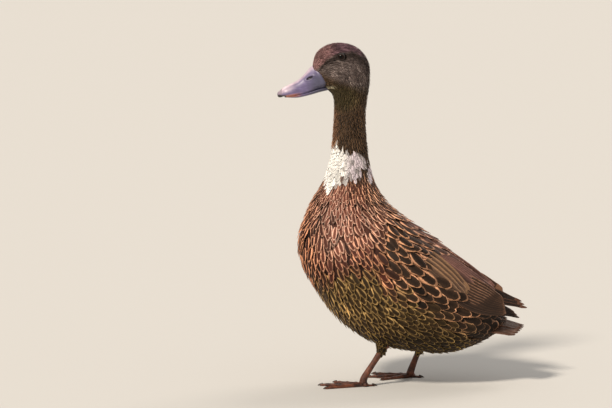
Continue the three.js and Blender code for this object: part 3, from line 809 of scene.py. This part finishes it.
def scatter_roots(form, size, rng, crowd=5.0):
    """Roots over a form no closer than their spacing, which is an ellipse along the lie. Places are
    drawn by area over spacing squared, then taken in random order unless one already taken has
    them in its ellipse. Returns rows, columns, places, and the spacing across and along in metres."""
    area = np.linalg.norm(np.cross(form.along, form.across), axis=-1)
    weight = area / (size.prod(-1) * MM**2)
    count = int(weight.sum() * crowd)
    flat = rng.choice(weight.size, count, p=(weight / weight.sum()).ravel())
    i, j = np.unravel_index(flat, weight.shape)
    i = np.clip(i + rng.random(count) - 0.5, 0, weight.shape[0] - 1)
    j = j + rng.random(count) - 0.5
    places, along, reach = form.at(i, j, form.points, form.along, size * MM)
    along = unit(along)
    tree = kdtree.KDTree(count)
    for k, place in enumerate(places.tolist()):
        tree.insert(place, k)
    tree.balance()
    taken, ruled_out = np.zeros(count, bool), np.zeros(count, bool)
    for k, place in enumerate(places.tolist()):
        if ruled_out[k]:
            continue
        taken[k] = True
        near = np.array([other for _, other, _ in tree.find_range(place, reach[k].max())])
        away = places[near] - places[k]
        down = away @ along[k]
        aside = (away**2).sum(1) - down**2
        ruled_out[near[(down / reach[k, 1]) ** 2 + aside / reach[k, 0] ** 2 < 1]] = True
    return i[taken], j[taken], places[taken], reach[taken, 0], reach[taken, 1]


BORDER_WIDTH = ((0.7, 1.5, 3, 6, 9), (0.3, 0.62, 1.15, 1.5, 1.7))  # by a vane's half width


def border_start(half):
    """Where the border starts across a vane. It is 0.3 mm wide on the smallest, 1.7 on the largest."""
    return 1 - np.interp(half / MM, *BORDER_WIDTH) / (half / MM)


# The feathers' edge on the bill, as z and y.
BILL_BORDER = ((366, 371, 375, 382, 389, 391, 393.5, 396.5, 400),
               (-95, -96, -98.5, -103.2, -106, -107.5, -111, -114, -120))
BILL_SECTIONS = 2.5  # how far back the bill reaches into the face
BILL_TOP = 400
EYE = np.array([-0.0773, 0.4108])  # its middle in side view, in metres
EYE_CLEAR = 4.3  # half the length of the bare place round the eye
EYE_LONG = 1.2  # how much longer than high it is
HEAD_SIDE = 8  # the cheeks are further out than this
TERTIALS = (60, 131)  # where they leave the coat, in side view
BACK_SLOPE = 0.62
WING_INNER = ((40, 60, 80, 115), (38, 35, 29, 19))  # the folded wing's upper edge, as y and x

rng = np.random.default_rng(23)
_, y, z = mm(body.points)
root_size = spacing(t[:, None] * np.ones_like(y), y, z)
root_i, root_j, root_place, root_wide, root_long = scatter_roots(body, root_size, rng)
root_t = root_i / BODY_ROWS
x, y, z = mm(root_place)
lengthen, widen = (np.interp(root_t, GROWTH[0], row) for row in GROWTH[1:])
bib_zone = smooth(z, 240, 262) * (1 - smooth(z, 292, 304))
length, half = root_long * lengthen, root_wide * (widen + 0.25 * bib_zone)
root_depth = np.interp(root_t, np.arange(len(BODY)), BODY[:, 6]) * MM * (1 - 0.6 * bib_zone)
lie = unit(body.at(root_i, root_j, body.along)[0])
wide_border = smooth(root_t, 11, 13) * (1 - smooth(root_t, 15.5, 17))  # on the breast
colours = (*markings_and_painted_light(root_place + lie * (0.8 * length)[:, None], rng),
           border_start(half) + rng.normal(0, 0.05, len(half)) - 0.16 * wide_border)

# None grow on the bill, in the eye's opening or under the folded flight feathers.
tip_x, tip_y, tip_z = mm(root_place + lie * length[:, None])
eye_y, eye_z = EYE / MM
near_eye = np.minimum(np.hypot(tip_y - eye_y, EYE_LONG * (tip_z - eye_z)),
                      1.25 * np.hypot(y - eye_y, EYE_LONG * (z - eye_z))) < EYE_CLEAR
on_bill = (y < np.interp(z, *BILL_BORDER)) & (root_t < BILL_SECTIONS) & (z < BILL_TOP)
p, q = tip_y - TERTIALS[0], tip_z - TERTIALS[1]
on_wing = np.hypot((0.77 * p - 0.64 * q - 3) / 19, (0.64 * p + 0.77 * q) / 7) < 1
on_wing |= (tip_y > 82) & (tip_z > 92) & (tip_z < 196 - BACK_SLOPE * tip_y)
on_wing |= (tip_y > 68) & (tip_z > 178 - BACK_SLOPE * tip_y)
on_wing &= np.abs(tip_x) > np.interp(tip_y, *WING_INNER)
on_eye = near_eye & (np.abs(x) > HEAD_SIDE)
clear = (root_t > 0.02) & (root_t < SECTIONS - 0.1) & ~on_eye & ~on_bill & ~on_wing

# Those on the flanks turn a little up towards the back. The breast's are blunter and less even.
left = x > 0
turned = np.where(left, 1, -1) * 0.22
side_yaw = turned * smooth(y, -40, 0) * smooth(z, 80, 110) * smooth(-z, -200, -170)
even = {"rounding": 1.2, "jitter": 0.08}
ruffled = {"rounding": 1.35, "jitter": 0.16, "blunt": 0.74}
for name, start, end, side, rows, columns, cut in (
    ("feathers_face", 0, 3.0, True, 4, 3, even),
    ("feathers_head", 3.0, 6.6, True, 4, 3, even),
    ("feathers_neck", 6.6, 11.4, True, 6, 5, even),
    ("feathers_breast", 11.4, 15.0, True, 6, 5, ruffled),
    ("feathers_left_side", 15.0, SECTIONS, left, 6, 7, even),
    ("feathers_right_side", 15.0, SECTIONS, ~left, 6, 7, even),
):
    chosen = (root_t >= start) & (root_t < end) & side & clear
    vane_piece(name, contour_vane, "plumage", lay_vanes(
        body, root_i[chosen], root_j[chosen], length[chosen], half[chosen],
        tuple(c[chosen] for c in colours), rng, root_depth[chosen], rows=rows, columns=columns,
        yaw=side_yaw[chosen], **cut))

# Short feathers run down the thighs to the cuffs.
THIGH_SPACING = np.array([2.6, 3.6])
THIGH_BARE = 72  # above this height they would lie inside the body's own coat
sets = []
for form in thighs:
    size = np.ones(form.points.shape[:2])[..., None] * THIGH_SPACING
    i, j, places, wide, tall = scatter_roots(form, size, rng)
    low = (places[:, 2] < THIGH_BARE * MM) & (i < form.points.shape[0] - 3)
    i, j, places, wide, tall = (v[low] for v in (i, j, places, wide, tall))
    shades = (*markings_and_painted_light(places - (0, 0, 0.004), rng), border_start(0.7 * wide))
    depth = np.full(len(i), THIGH_COAT * MM)
    sets.append(lay_vanes(form, i, j, 2.6 * tall, 0.75 * wide, shades, rng, depth))
vane_piece("feathers_thighs", contour_vane, "plumage", *sets)


# ---- Folded wings ----
# Each wing is folded against the flank, under the scapulars and over the rump. Broad tertials lie
# on top, the tan edges of the secondaries show below them, and the long stiff primaries taper
# to a point beside the tail. The left wing is folded a little shorter and lower.

BRIDGE = 3  # how softly a stiff feather leaves the flank where the body falls away
OFF_BODY = 6


def flank(y, z):
    """The body's half width at a side-plane place: the nearest point of the outer grid, moved by
    the grid's own slopes to the place, and 0 beside the body."""
    grid = outer[::3, :BODY_ROUND // 2 + 1:3] / MM
    flat = grid.reshape(-1, 3)
    down, along = (np.gradient(grid, axis=k).reshape(-1, 3) for k in (0, 1))
    at = np.stack([np.ravel(y), np.ravel(z)], -1)
    nearest = ((at[:, None] - flat[None, :, 1:]) ** 2).sum(-1).argmin(1)
    away = at - flat[nearest, 1:]
    p, q = down[nearest], along[nearest]
    det = p[:, 1] * q[:, 2] - p[:, 2] * q[:, 1]
    det = np.where(np.abs(det) < 0.05, np.inf, det)
    u = np.clip((away[:, 0] * q[:, 2] - away[:, 1] * q[:, 1]) / det, -1, 1)
    v = np.clip((away[:, 1] * p[:, 1] - away[:, 0] * p[:, 2]) / det, -1, 1)
    half = flat[nearest, 0] + u * p[:, 0] + v * q[:, 0]
    return np.where(np.hypot(*away.T) > OFF_BODY, 0, half).reshape(np.shape(y))


flight_vane = feather_material(
    "flight_feather_barbs", barb_lines=70.0, shaft=0.07, Roughness=0.5, Specular_IOR_Level=0.22,
    Sheen_Weight=0.1, Sheen_Roughness=0.4, Sheen_Tint=rgba("#ffd0b4"))


def plain(n, middle, border, start, rng, vary=0.08):
    """The same two colours for n feathers, each a little lighter or darker."""
    tone = np.exp(rng.normal(0, vary, n))[:, None]
    return linear(middle) * tone, linear(border) * tone, np.full(n, start)


def quills(roots, tips, sign, half, lift, colours, rng, root_width=0.55, blunt=0.55, sag=(0, 0)):
    """Long stiff feathers between side-plane roots and tips (x, y, z), in millimetres. A shaft is
    straight in side view but for a sag of 4s(1-s). Its distance from the middle is the larger of
    the flank's and of a straight line's, rounded off by half a + b + sqrt((a - b)^2 + bridge^2)."""
    n, rows, columns = len(roots), 15, 7
    s, w = np.linspace(0, 1, rows), np.linspace(-1, 1, columns)
    u = s[None, :, None]
    line = roots[:, None] * (1 - u) + tips[:, None, 1:] * u
    line[..., 1] -= np.linspace(*sag, n)[:, None] * 4 * s * (1 - s)
    lie = unit(np.gradient(line, axis=1))
    aside = np.stack([-lie[..., 1], lie[..., 0]], -1)
    torn = 1 + rng.normal(0, 0.015, (n, rows, columns)) * u
    half, lift = (np.reshape(v, (-1, 1, 1)) for v in (half, lift))
    across = half * vane_width(s, root_width, 0.3, 0.5, blunt)[:, None] * w * torn
    back = -1.4 * half * np.abs(w) ** 2 * (0.1 + 0.9 * u**3)
    yz = line[:, :, None] + aside[:, :, None] * across[..., None] + lie[:, :, None] * back[..., None]
    on = np.maximum(flank(yz[..., 0], yz[..., 1]), 0)
    at_root = np.maximum(flank(*roots.T), 0)[:, None, None]
    straight = at_root * (1 - u) + tips[:, None, None, 0] * u
    far = 0.5 * (on + straight + np.sqrt((on - straight) ** 2 + BRIDGE**2 * u))
    far = far + lift * smooth(u, 0, 0.35) - 0.1 * half * w**2
    points = np.concatenate([sign * far[..., None], yz], -1) * MM
    if sign < 0:
        points = points[:, :, ::-1]
    grid = body.points[:, :BODY_ROUND // 2 + 1, 1:] / MM
    near = ((roots[:, None] - grid.reshape(-1, 2)) ** 2).sum(-1).argmin(1)
    i, j = np.unravel_index(near, grid.shape[:2])
    return bundle(points, body, (i, j if sign > 0 else BODY_ROUND - j), colours, s, w, rng)


# Fans of feathers. For each: how many, the first and last root (y, z), the first and last tip
# (x, y, z), the first and last half width and height over the flank, the colours with the start
# of the border, and how far its tips go with the wing's point.
FANS = (
    # The longest primaries, below the rest, painted darker for the shade they lie in.
    (3, (84, 118), (82, 108), (22, 139, 92), (18, 145.5, 84.5), (5.5, 5), (0.8, 0.2),
     ("#251a14", "#5f4031", 0.84), 1, {"blunt": 0.4}),
    # The other primaries, which sweep down from under the scapulars.
    (10, (75, 140), (57, 120), (32, 124, 111), (34, 128, 93), (5.6, 5.2), (3.8, 1.6),
     ("#36251a", "#84604a", 0.84), 0.3, {"sag": (0, 7)}),
    # Broad tan secondaries.
    (4, (24, 158), (34, 168), (52, 76, 113), (44, 82, 124), (6.5, 6.5), (2.4, 3.6),
     ("#564031", "#856549", 0.7), 0.0, {"blunt": 0.6, "root_width": 0.7}),
    # Tertials along the edge of the back.
    (5, (40, 163), (50, 165), (36, 98, 119), (12, 115, 119), (6.5, 4.5), (4.4, 3.2),
     ("#513831", "#77544b", 0.8), 0.1, {"blunt": 0.6}),
)


def fan(sign, point, n, root, root_end, tip, tip_end, half, lift, shades, free, shape):
    """The feathers of one fan in even steps from the first to the last. Its tips are moved by the
    wing point's own place, as far as they are free."""
    k = np.linspace(0, 1, n)
    roots, tips, halves, lifts = (
        a + (b - a) * np.reshape(k, (-1,) + (1,) * a.ndim)
        for a, b in (np.array(ends, float) for ends in ((root, root_end), (tip, tip_end), half, lift)))
    tips = tips + np.array(point) * free
    return quills(roots, tips, sign, halves, lifts, plain(n, *shades, rng), rng, **shape)


# The right wing's point lies a little higher and further back than the left one's.
for side, sign, point in (("left", 1, (0, 0, 0)), ("right", -1, (0, 12, 7))):
    piece = vane_piece("flight_feathers_" + side, flight_vane, "wing_plumage",
                       *[fan(sign, point, *row) for row in FANS])
    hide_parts("wing_" + side)


# ---- Tail ----
# Fourteen stiff feathers in a low fan, the middle pair on top and longest, with soft coverts over
# and under their roots.

TAIL_FEATHERS = 14
TAIL_COLUMNS = 57  # of the fan's grid


def tail_form(under=0.0, outward=-1):
    """A low arched fan: it widens from 20 to 32 mm each side, drops from 91 to 73 mm, and its
    edges droop by the square of the distance from the middle."""
    a, b = np.linspace(0, 1, 41)[:, None], np.linspace(-1, 1, TAIL_COLUMNS)[None, :]
    x = (20 + 12 * a) * b
    y = 96 + (57 - 15 * b**2) * a
    z = 91 - 18 * a - (15 - 9 * a) * b**2 - under
    return Form(np.stack([x, y, z], -1) * MM, False, outward)


def coverts(form, n, roots, places, long, wide, shades, vary):
    """Soft feathers strewn over the fan's root, each range from its least to its greatest value."""
    i, j = rng.uniform(*roots, n), rng.uniform(*places, n)
    length, half = rng.uniform(*long, n) * MM, rng.uniform(*wide, n) * MM
    return lay_vanes(form, i, j, length, half, plain(n, *shades, rng, vary), rng, np.full(n, 3.0 * MM),
                     rows=6, lift=0.6 * MM)


tail = tail_form()
b = (np.arange(TAIL_FEATHERS) + 0.5) / TAIL_FEATHERS * 2 - 1
rectrices = lay_vanes(
    tail, np.zeros(TAIL_FEATHERS), (b + 1) / 2 * (TAIL_COLUMNS - 1), (60 - 15 * b**2) * MM,
    np.full(TAIL_FEATHERS, 7.0 * MM), plain(TAIL_FEATHERS, "#4f3628", "#885f4c", 0.84, rng), rng,
    np.full(TAIL_FEATHERS, 0.3 * MM), rows=8, columns=7, rounding=1.2, widest=0.5, blunt=0.7,
    camber=0.08, lift=-(0.6 + 3.2 * np.abs(b)) * MM, ragged=0.03, jitter=0.0)
upper_coverts = coverts(tail, 46, (-6, 9), (8, 48), (20, 27), (4, 5.5),
                        ("#2c2119", "#6e5340", 0.84), 0.12)
lower_coverts = coverts(tail_form(5.0, 1), 54, (-12, 10), (5, 51), (20, 28), (4.5, 6),
                        ("#2c1f1b", "#77584c", 0.8), 0.15)
piece = vane_piece("tail_feathers", flight_vane, "tail_plumage",
                   rectrices, upper_coverts, lower_coverts)
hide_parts("tail")


# ---- Eyes ----
# Each eye is a dark brown glassy ball, set low in the cheek, in a rim of bare dusky lids.

def shell_piece(name, material, slot, *shells):
    """A piece of closed shells, each facing outwards."""
    piece = build_piece(name, *merge(shells), material)
    return piece


def revolve(profile, centre, axis, up, columns):
    """A grid round an axis, from a radius and a height along the axis for each row, or for each
    row and column."""
    profile = profile.reshape(len(profile), -1, 2)
    axis = unit(np.asarray(axis, float))
    across = unit(np.cross(np.asarray(up, float), axis))
    up = np.cross(axis, across)
    a = turns(columns)
    flat = np.cos(a)[:, None] * across + np.sin(a)[:, None] * up
    return centre + profile[..., :1] * flat[None] + profile[..., 1:] * axis


def arc(turn, radius):
    """A profile at an angle from the axis: the radius times the angle's sine, and its cosine."""
    return np.stack([np.sin(turn) * radius, np.cos(turn) * radius], -1)


eye_glass, tree, shader = new_material(
    "eye_cornea_and_iris", Roughness=0.05, Specular_IOR_Level=0.1,
    Coat_Weight=0.05, Coat_Roughness=0.02)
# A black pupil in a dark brown iris with fine spokes and a darker rim, all under a wet cornea.
tint = node(tree, "Attribute", attribute_name="Middle").outputs["Color"]
shade(tree, shader, tint, ramp(tree, noise(tree, 1800.0), low=0.6, high=1.4))

lid_skin, tree, shader = new_material("bare_eyelid_skin", Roughness=0.5, Specular_IOR_Level=0.4)
# Bare lid skin is dusky and finely creased, about 2 creases to the millimetre.
creases = noise(tree, 2200.0, 3.0)
tree.links.new(blend(tree, creases, rgba("#16100e"), rgba("#362a25")), shader.inputs["Base Color"])
raise_bumps(tree, shader, creases, 0.3, 0.0002)

EYE_RADIUS = 6.2 * MM
EYE_DEPTH = 3.9
EYE_ROUND = 48
PUPIL = 1.9
IRIS = 4.1
IRIS_COLOURS = (linear("#050404"), linear("#1d120c"), linear("#0c0806"))  # pupil, iris and its rim
LID_OPENING = (4.2, 3.1)  # half the width and height of the almond between the lids
LID_END = 1.1  # the angle from the pupil at which they are under the feathers
# The lids' section: the share of the way from the opening to their end, and the height off the ball.
LID = np.array([(1, -0.3), (0.6, 0.05), (0.25, 0.34), (0.06, 0.4), (0, 0.28), (0, 0.05), (0.06, -0.1),
                (0.6, -0.5)])
around = turns(EYE_ROUND)
opening = 1 / np.hypot(np.cos(around) / LID_OPENING[0], np.sin(around) / LID_OPENING[1])
start = np.arcsin(opening * MM / EYE_RADIUS)
lid_profile = arc(start + LID[:, :1] * (LID_END - start), EYE_RADIUS + LID[:, 1:] * MM)
# The ball's front bulges a little, as the cornea does.
turn = np.linspace(0.04, math.pi - 0.1, 40)
ball_profile = arc(turn, EYE_RADIUS * (1 + 0.04 * np.exp(-(turn / 0.5) ** 2)))
away = ball_profile[:, 0] / MM + 99 * (turn > math.pi / 2)
iris = smooth(away, PUPIL - 0.15, PUPIL + 0.25)[:, None]
rim = smooth(away, IRIS - 0.4, IRIS + 0.3)[:, None]
colour = (IRIS_COLOURS[0] * (1 - iris) + IRIS_COLOURS[1] * iris) * (1 - rim) + IRIS_COLOURS[2] * rim
for side, sign in (("left", 1), ("right", -1)):
    centre = np.array([sign * (flank(*EYE / MM) - EYE_DEPTH) * MM, *EYE])
    look = np.array([sign, -0.16, 0.06])
    ball = shell_piece("eyeball_" + side, eye_glass, "eye", closed_tube(
        revolve(ball_profile, centre, look, (0, 0, 1), EYE_ROUND)))
    tones = np.concatenate([np.repeat(colour, EYE_ROUND, 0), colour[:1], colour[-1:]])
    set_colours(ball, "Middle", tones)
    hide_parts("eye_" + side)
    lids = revolve(lid_profile, centre, look, (0, 0.25, 1), EYE_ROUND)
    shell_piece("eyelids_" + side, lid_skin, "horn",
                (lids.reshape(-1, 3), [grid_quads(len(LID), EYE_ROUND, closed=True)]))


# ---- Bill ----
# The bill is bone under a leathery skin, horny at the edges, with a hard nail at the tip and an
# open slot of a nostril each side. It runs up onto the forehead.

# Sections from the tip, in millimetres, as for the body but with no coat.
BILL_UPPER = np.array([
    (-154.2, 367.4, -152.5, 360.6, 6.0, 0.35), (-149.5, 371.6, -146.5, 360.4, 11.0, 0.25),
    (-142.0, 375.4, -138.0, 361.0, 11.8, 0.22), (-131.5, 380.8, -127.5, 362.2, 10.8, 0.2),
    (-123.8, 387.7, -116.3, 365.2, 10.4, 0.2), (-114.2, 398.2, -105.5, 369.4, 11.6, 0.24),
    (-107.5, 397.5, -97.0, 372.2, 14.4, 0.3), (-97.0, 395.0, -88.0, 378.5, 10.5, 0.3),
])
BILL_LOWER = np.array([
    (-147.0, 361.6, -147.0, 359.2, 7.0, 0.7), (-132.0, 363.4, -131.8, 359.0, 9.8, 0.75),
    (-118.0, 366.6, -117.5, 362.0, 9.0, 0.75), (-104.0, 371.0, -103.0, 366.2, 9.6, 0.75),
    (-90.0, 376.0, -86.0, 370.0, 7.0, 0.6),
])
BILL_SQUARE = 2.2
# The cutting edge and the ridge in side view, as y and z.
BILL_EDGE = ((-154, -146, -138, -127, -116, -105), (360.5, 360.4, 361, 362.2, 365.2, 369.4))
BILL_RIDGE = ((-154, -149, -142, -131, -124, -114, -107), (367, 371.6, 375.4, 380.8, 387.7, 398, 400))
NOSTRIL = (-116.8, 384.2)
NOSTRIL_PITCH = 0.45
NAIL_HOOK = 1.2


def bill_tube(sections, rows, columns):
    """A tube's grid, of superellipse rings on a spline through some sections."""
    t = np.linspace(0, len(sections) - 1, rows)[:, None]
    return ring(spline(sections, t), turns(columns)[None], BILL_SQUARE)


def off_nostril(y, z, long, high):
    """Distance from the nostril's middle, 1 on the edge of a slanted slot of these half sizes."""
    p, q = y - NOSTRIL[0], z - NOSTRIL[1]
    c, s = math.cos(NOSTRIL_PITCH), math.sin(NOSTRIL_PITCH)
    return np.hypot((p * c + q * s) / long, (q * c - p * s) / high)


bill_skin, tree, shader = new_material(
    "bill_keratin_and_skin", Roughness=0.42, Specular_IOR_Level=0.45,
    Coat_Weight=0.15, Coat_Roughness=0.3)
# Leathery keratin is satin, with blotches a few millimetres wide and fine lengthwise wear.
tint = node(tree, "Attribute", attribute_name="Middle").outputs["Color"]
blotch = noise(tree, 180.0, 4.0)
where = node(tree, "TexCoord").outputs["Object"]
drawn = maths(tree, "MULTIPLY", where, (900.0, 160.0, 900.0), kind="VectorMath")
wear = node(tree, "TexNoise", {"Vector": drawn, "Scale": 1.0, "Detail": 3.0}).outputs[0]
both = maths(tree, "ADD", blotch, wear)
shade(tree, shader, tint, ramp(tree, both, 0.6, 1.4, 0.72, 1.25))
tree.links.new(ramp(tree, blotch, low=0.32, high=0.55), shader.inputs["Roughness"])
raise_bumps(tree, shader, both, 0.35, 0.0003)


def bill_tones(points):
    """Slate lilac, bluer low behind the nostril, with an orange pink rim and a nearly black nail. A
    pale pink painted highlight runs along the top and towards the tip. The bill is painted darker below
    the cutting edge, as shade under the upper bill, and the nostril's pit is painted nearly black, as
    shade. Each colour is laid over those before it, by a share at each place."""
    _, y, z = mm(points)
    edge, ridge = np.interp(y, *BILL_EDGE), np.interp(y, *BILL_RIDGE)
    up = (z - edge) / np.maximum(ridge - edge, 1)
    tones = np.repeat(linear("#695e82")[None], len(points), 0)
    for code, share in (
        ("#4c4a60", smooth(y, -126, -108) * (1 - smooth(up, 0.5, 0.85))),
        # Painted highlight: pale pink along the top and towards the tip.
        ("#e2ccd4", (smooth(up, 0.8, 0.97) * 0.6 + smooth(-y, 130, 149) * 0.6) * smooth(up, 0.25, 0.7)),
        ("#c4785a", smooth(up, -0.1, 0.02) * (1 - smooth(up, 0.1, 0.26)) * smooth(-y, 124, 138) * 0.85),
        # Painted shade: darker below the cutting edge, under the upper bill.
        ("#3a3444", 1 - smooth(up, -0.2, -0.05)),
        ("#7b6c78", smooth(-y, 150.5, 152) * 0.7),
        ("#14100f", smooth(-y, 145.0, 147.0) * (1 - smooth(z, 362.0, 363.4))),
        # Painted shade: nearly black inside the nostril's pit.
        ("#1f1822", (1 - smooth(off_nostril(y, z, 4.2, 1.6), 0.8, 1.3)) * 0.95),
    ):
        tones = tones + (linear(code) - tones) * np.clip(share, 0, 1)[:, None]
    return tones


upper = bill_tube(BILL_UPPER, 170, 132)
x, y, z = mm(upper)
r = off_nostril(y, z, 4.0, 1.35)
relief = 0.3 * np.exp(-((r - 1.5) / 0.35) ** 2) - 1.9 * (1 - smooth(r, 0.7, 1.25))
# A shallow groove follows the edge, and the nail hooks over the tip.
groove = np.exp(-((z - (365.6 + 0.24 * (y + 127)) - 2.2) / 0.8) ** 2)
relief = relief - 0.25 * groove * smooth(y, -150, -140)
upper = upper + Form(upper, True).normal * (relief * MM)[..., None]
nail = smooth(-y, 149, 152.6) * (1 - smooth(np.abs(x), 3.0, 5.0)) * (1 - smooth(z, 363, 366))
upper[..., 2] -= NAIL_HOOK * MM * nail
for half, grid in (("upper", upper), ("lower", bill_tube(BILL_LOWER, 90, 80))):
    shell = closed_tube(rounded(grid))
    piece = shell_piece("bill_" + half + "_horn", bill_skin, "horn", shell)
    set_colours(piece, "Middle", bill_tones(shell[0]))
    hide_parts("bill_" + half)


# ---- Legs and feet ----
# Bare legs and webbed feet, in horny scales over tendon and bone, with thin leathery webs between
# the three front toes and a horn claw on each toe.

TOES = ((42, -0.52), (52, 0.0), (49, 0.48))  # inner, middle and outer: length and angle outwards
HIND_TOE = (13, math.pi + 0.3)
TOE_HALF = 3.0
TOE_HIGH = 5.2
TOE_JOINTS = (0.32, 0.6, 0.85)  # along the toe
CLAW = 7.0
CLAW_HALF = 1.7
WEB_REACH = 0.93
WEB_HOLLOW = 0.17
WEB_UNDER = 0.15
SHANK_RADII = (4.4, 4.6, 3.2, 3.9, 4.4)  # from the hock to the ankle
SCALES = 650.0  # to the metre

leg_scales, tree, shader = new_material("leg_scales", Roughness=0.5, Specular_IOR_Level=0.4)
# Each scale is a little domed and darker in its seams. They are 1.5 mm wide.
seams = cells(tree, SCALES, feature="DISTANCE_TO_EDGE")
stain = ramp(tree, noise(tree, 120.0, 4.0), 0.35, 0.65)
ground = blend(tree, stain, rgba("#2c1710"), rgba("#7a4329"))
shade(tree, shader, ground, ramp(tree, seams, end=0.12, low=0.45))
raise_bumps(tree, shader, ramp(tree, seams, end=0.3), 0.6, 0.0003)

claw_horn, tree, shader = new_material("claw_keratin", Roughness=0.35, Specular_IOR_Level=0.5)
# Claw horn is nearly black, smooth and faintly clouded.
horn = blend(tree, noise(tree, 900.0), rgba("#15100e"), rgba("#4b3a30"))
tree.links.new(horn, shader.inputs["Base Color"])


def toe_grid(length, high=TOE_HIGH, rows=44, columns=28):
    """A toe along -Y with a flat sole. It narrows by two fifths, and is thicker at its joints."""
    a, angle = np.linspace(0, 1, rows)[:, None], turns(columns)[None]
    joint = 1 + 0.13 * sum(np.exp(-((a - at) / 0.045) ** 2) for at in TOE_JOINTS)
    half = TOE_HALF * (1 - 0.4 * a) * joint
    tall = high * (1 - 0.5 * a) * joint
    z = np.maximum(tall * (0.45 + 0.6 * np.cos(angle)), 0)
    return np.stack(np.broadcast_arrays(half * np.sin(angle), 4 - (length + 5) * a, z), -1)


def claw_grid(length, rows=14, columns=14):
    """A curved claw at the toe's end, its radius falling with the square root of what is left."""
    a, angle = np.linspace(0, 1, rows)[:, None], turns(columns)[None]
    radius = CLAW_HALF * np.sqrt(1.02 - a)
    z = np.maximum(2.2 - 1.5 * a**2 + radius * np.cos(angle), 0)
    y = -length + 1.5 - (CLAW - 0.5) * a
    return np.stack(np.broadcast_arrays(radius * 0.8 * np.sin(angle), y, z), -1)


def web_grid(one, other, rows=26, columns=18):
    """The web between two toes, from the foot to a hollow edge. It is a thin plate, thickest by the
    toes and creased along them."""
    s, v = np.linspace(0.1, 1, rows)[:, None], np.linspace(0, 1, columns)[None]
    first, last = (np.array([math.sin(turn), -math.cos(turn)]) * length * WEB_REACH
                   for length, turn in (one, other))
    flat = s[..., None] * (first * (1 - v[..., None]) + last * v[..., None])
    flat = flat * (1 - WEB_HOLLOW * 4 * v * (1 - v) * s**2)[..., None]
    crease = 0.16 * np.sin(v * math.pi * 7 + 2 * s) * np.sin(math.pi * v)
    top = 0.9 + 0.9 * (1 - 4 * v * (1 - v)) * (1 - 0.5 * s) + crease
    # Over the top by columns and back underneath, so the rows close into a tube.
    over, under = (np.concatenate([flat, np.broadcast_to(z, flat.shape[:2])[..., None]], -1)
                   for z in (top, WEB_UNDER))
    return np.concatenate([over, under[:, ::-1]], 1)


for side, (sign, hock, ankle, toe_in, _) in LEGS.items():
    def at_foot(grid, turn=0.0):
        """Places a grid made about the ankle, turned about it outwards on its own side."""
        c, s = math.cos(sign * (turn - toe_in)), math.sin(sign * (turn - toe_in))
        x, y, z = (grid[..., k] for k in range(3))
        return (np.stack([x * c - y * s, x * s + y * c, z], -1) + (sign * ANKLE_OUT, ankle[0], 0)) * MM

    centres = np.array([(HOCK_OUT, hock[0] + 2, hock[1] + 4), (HOCK_OUT, *hock),
                        (30.5, (hock[0] + ankle[0]) / 2, 31), (ANKLE_OUT, ankle[0] + 2, 12),
                        (ANKLE_OUT, ankle[0], 5.5)]) * (sign, 1, 1)
    shank = shell_piece("shank_scales_" + side, leg_scales, "leg_skin", closed_tube(rounded(
        rod(centres, SHANK_RADII, 60, 28, 1.12) * MM)))
    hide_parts("shank_" + side)

    toes = [rounded(at_foot(toe_grid(length), turn)) for length, turn in TOES]
    toes.append(rounded(at_foot(toe_grid(HIND_TOE[0], 3.6, 20, 20), HIND_TOE[1])))
    webs = [at_foot(web_grid(*pair) * (sign, 1, 1)) for pair in zip(TOES[:2], TOES[1:])]
    foot = shell_piece("foot_skin_" + side, leg_scales, "leg_skin", *map(closed_tube, toes + webs))
    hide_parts("foot_" + side)

    claws = [closed_tube(at_foot(claw_grid(length), turn)) for length, turn in (*TOES, HIND_TOE)]
    shell_piece("claws_" + side, claw_horn, "horn", *claws)
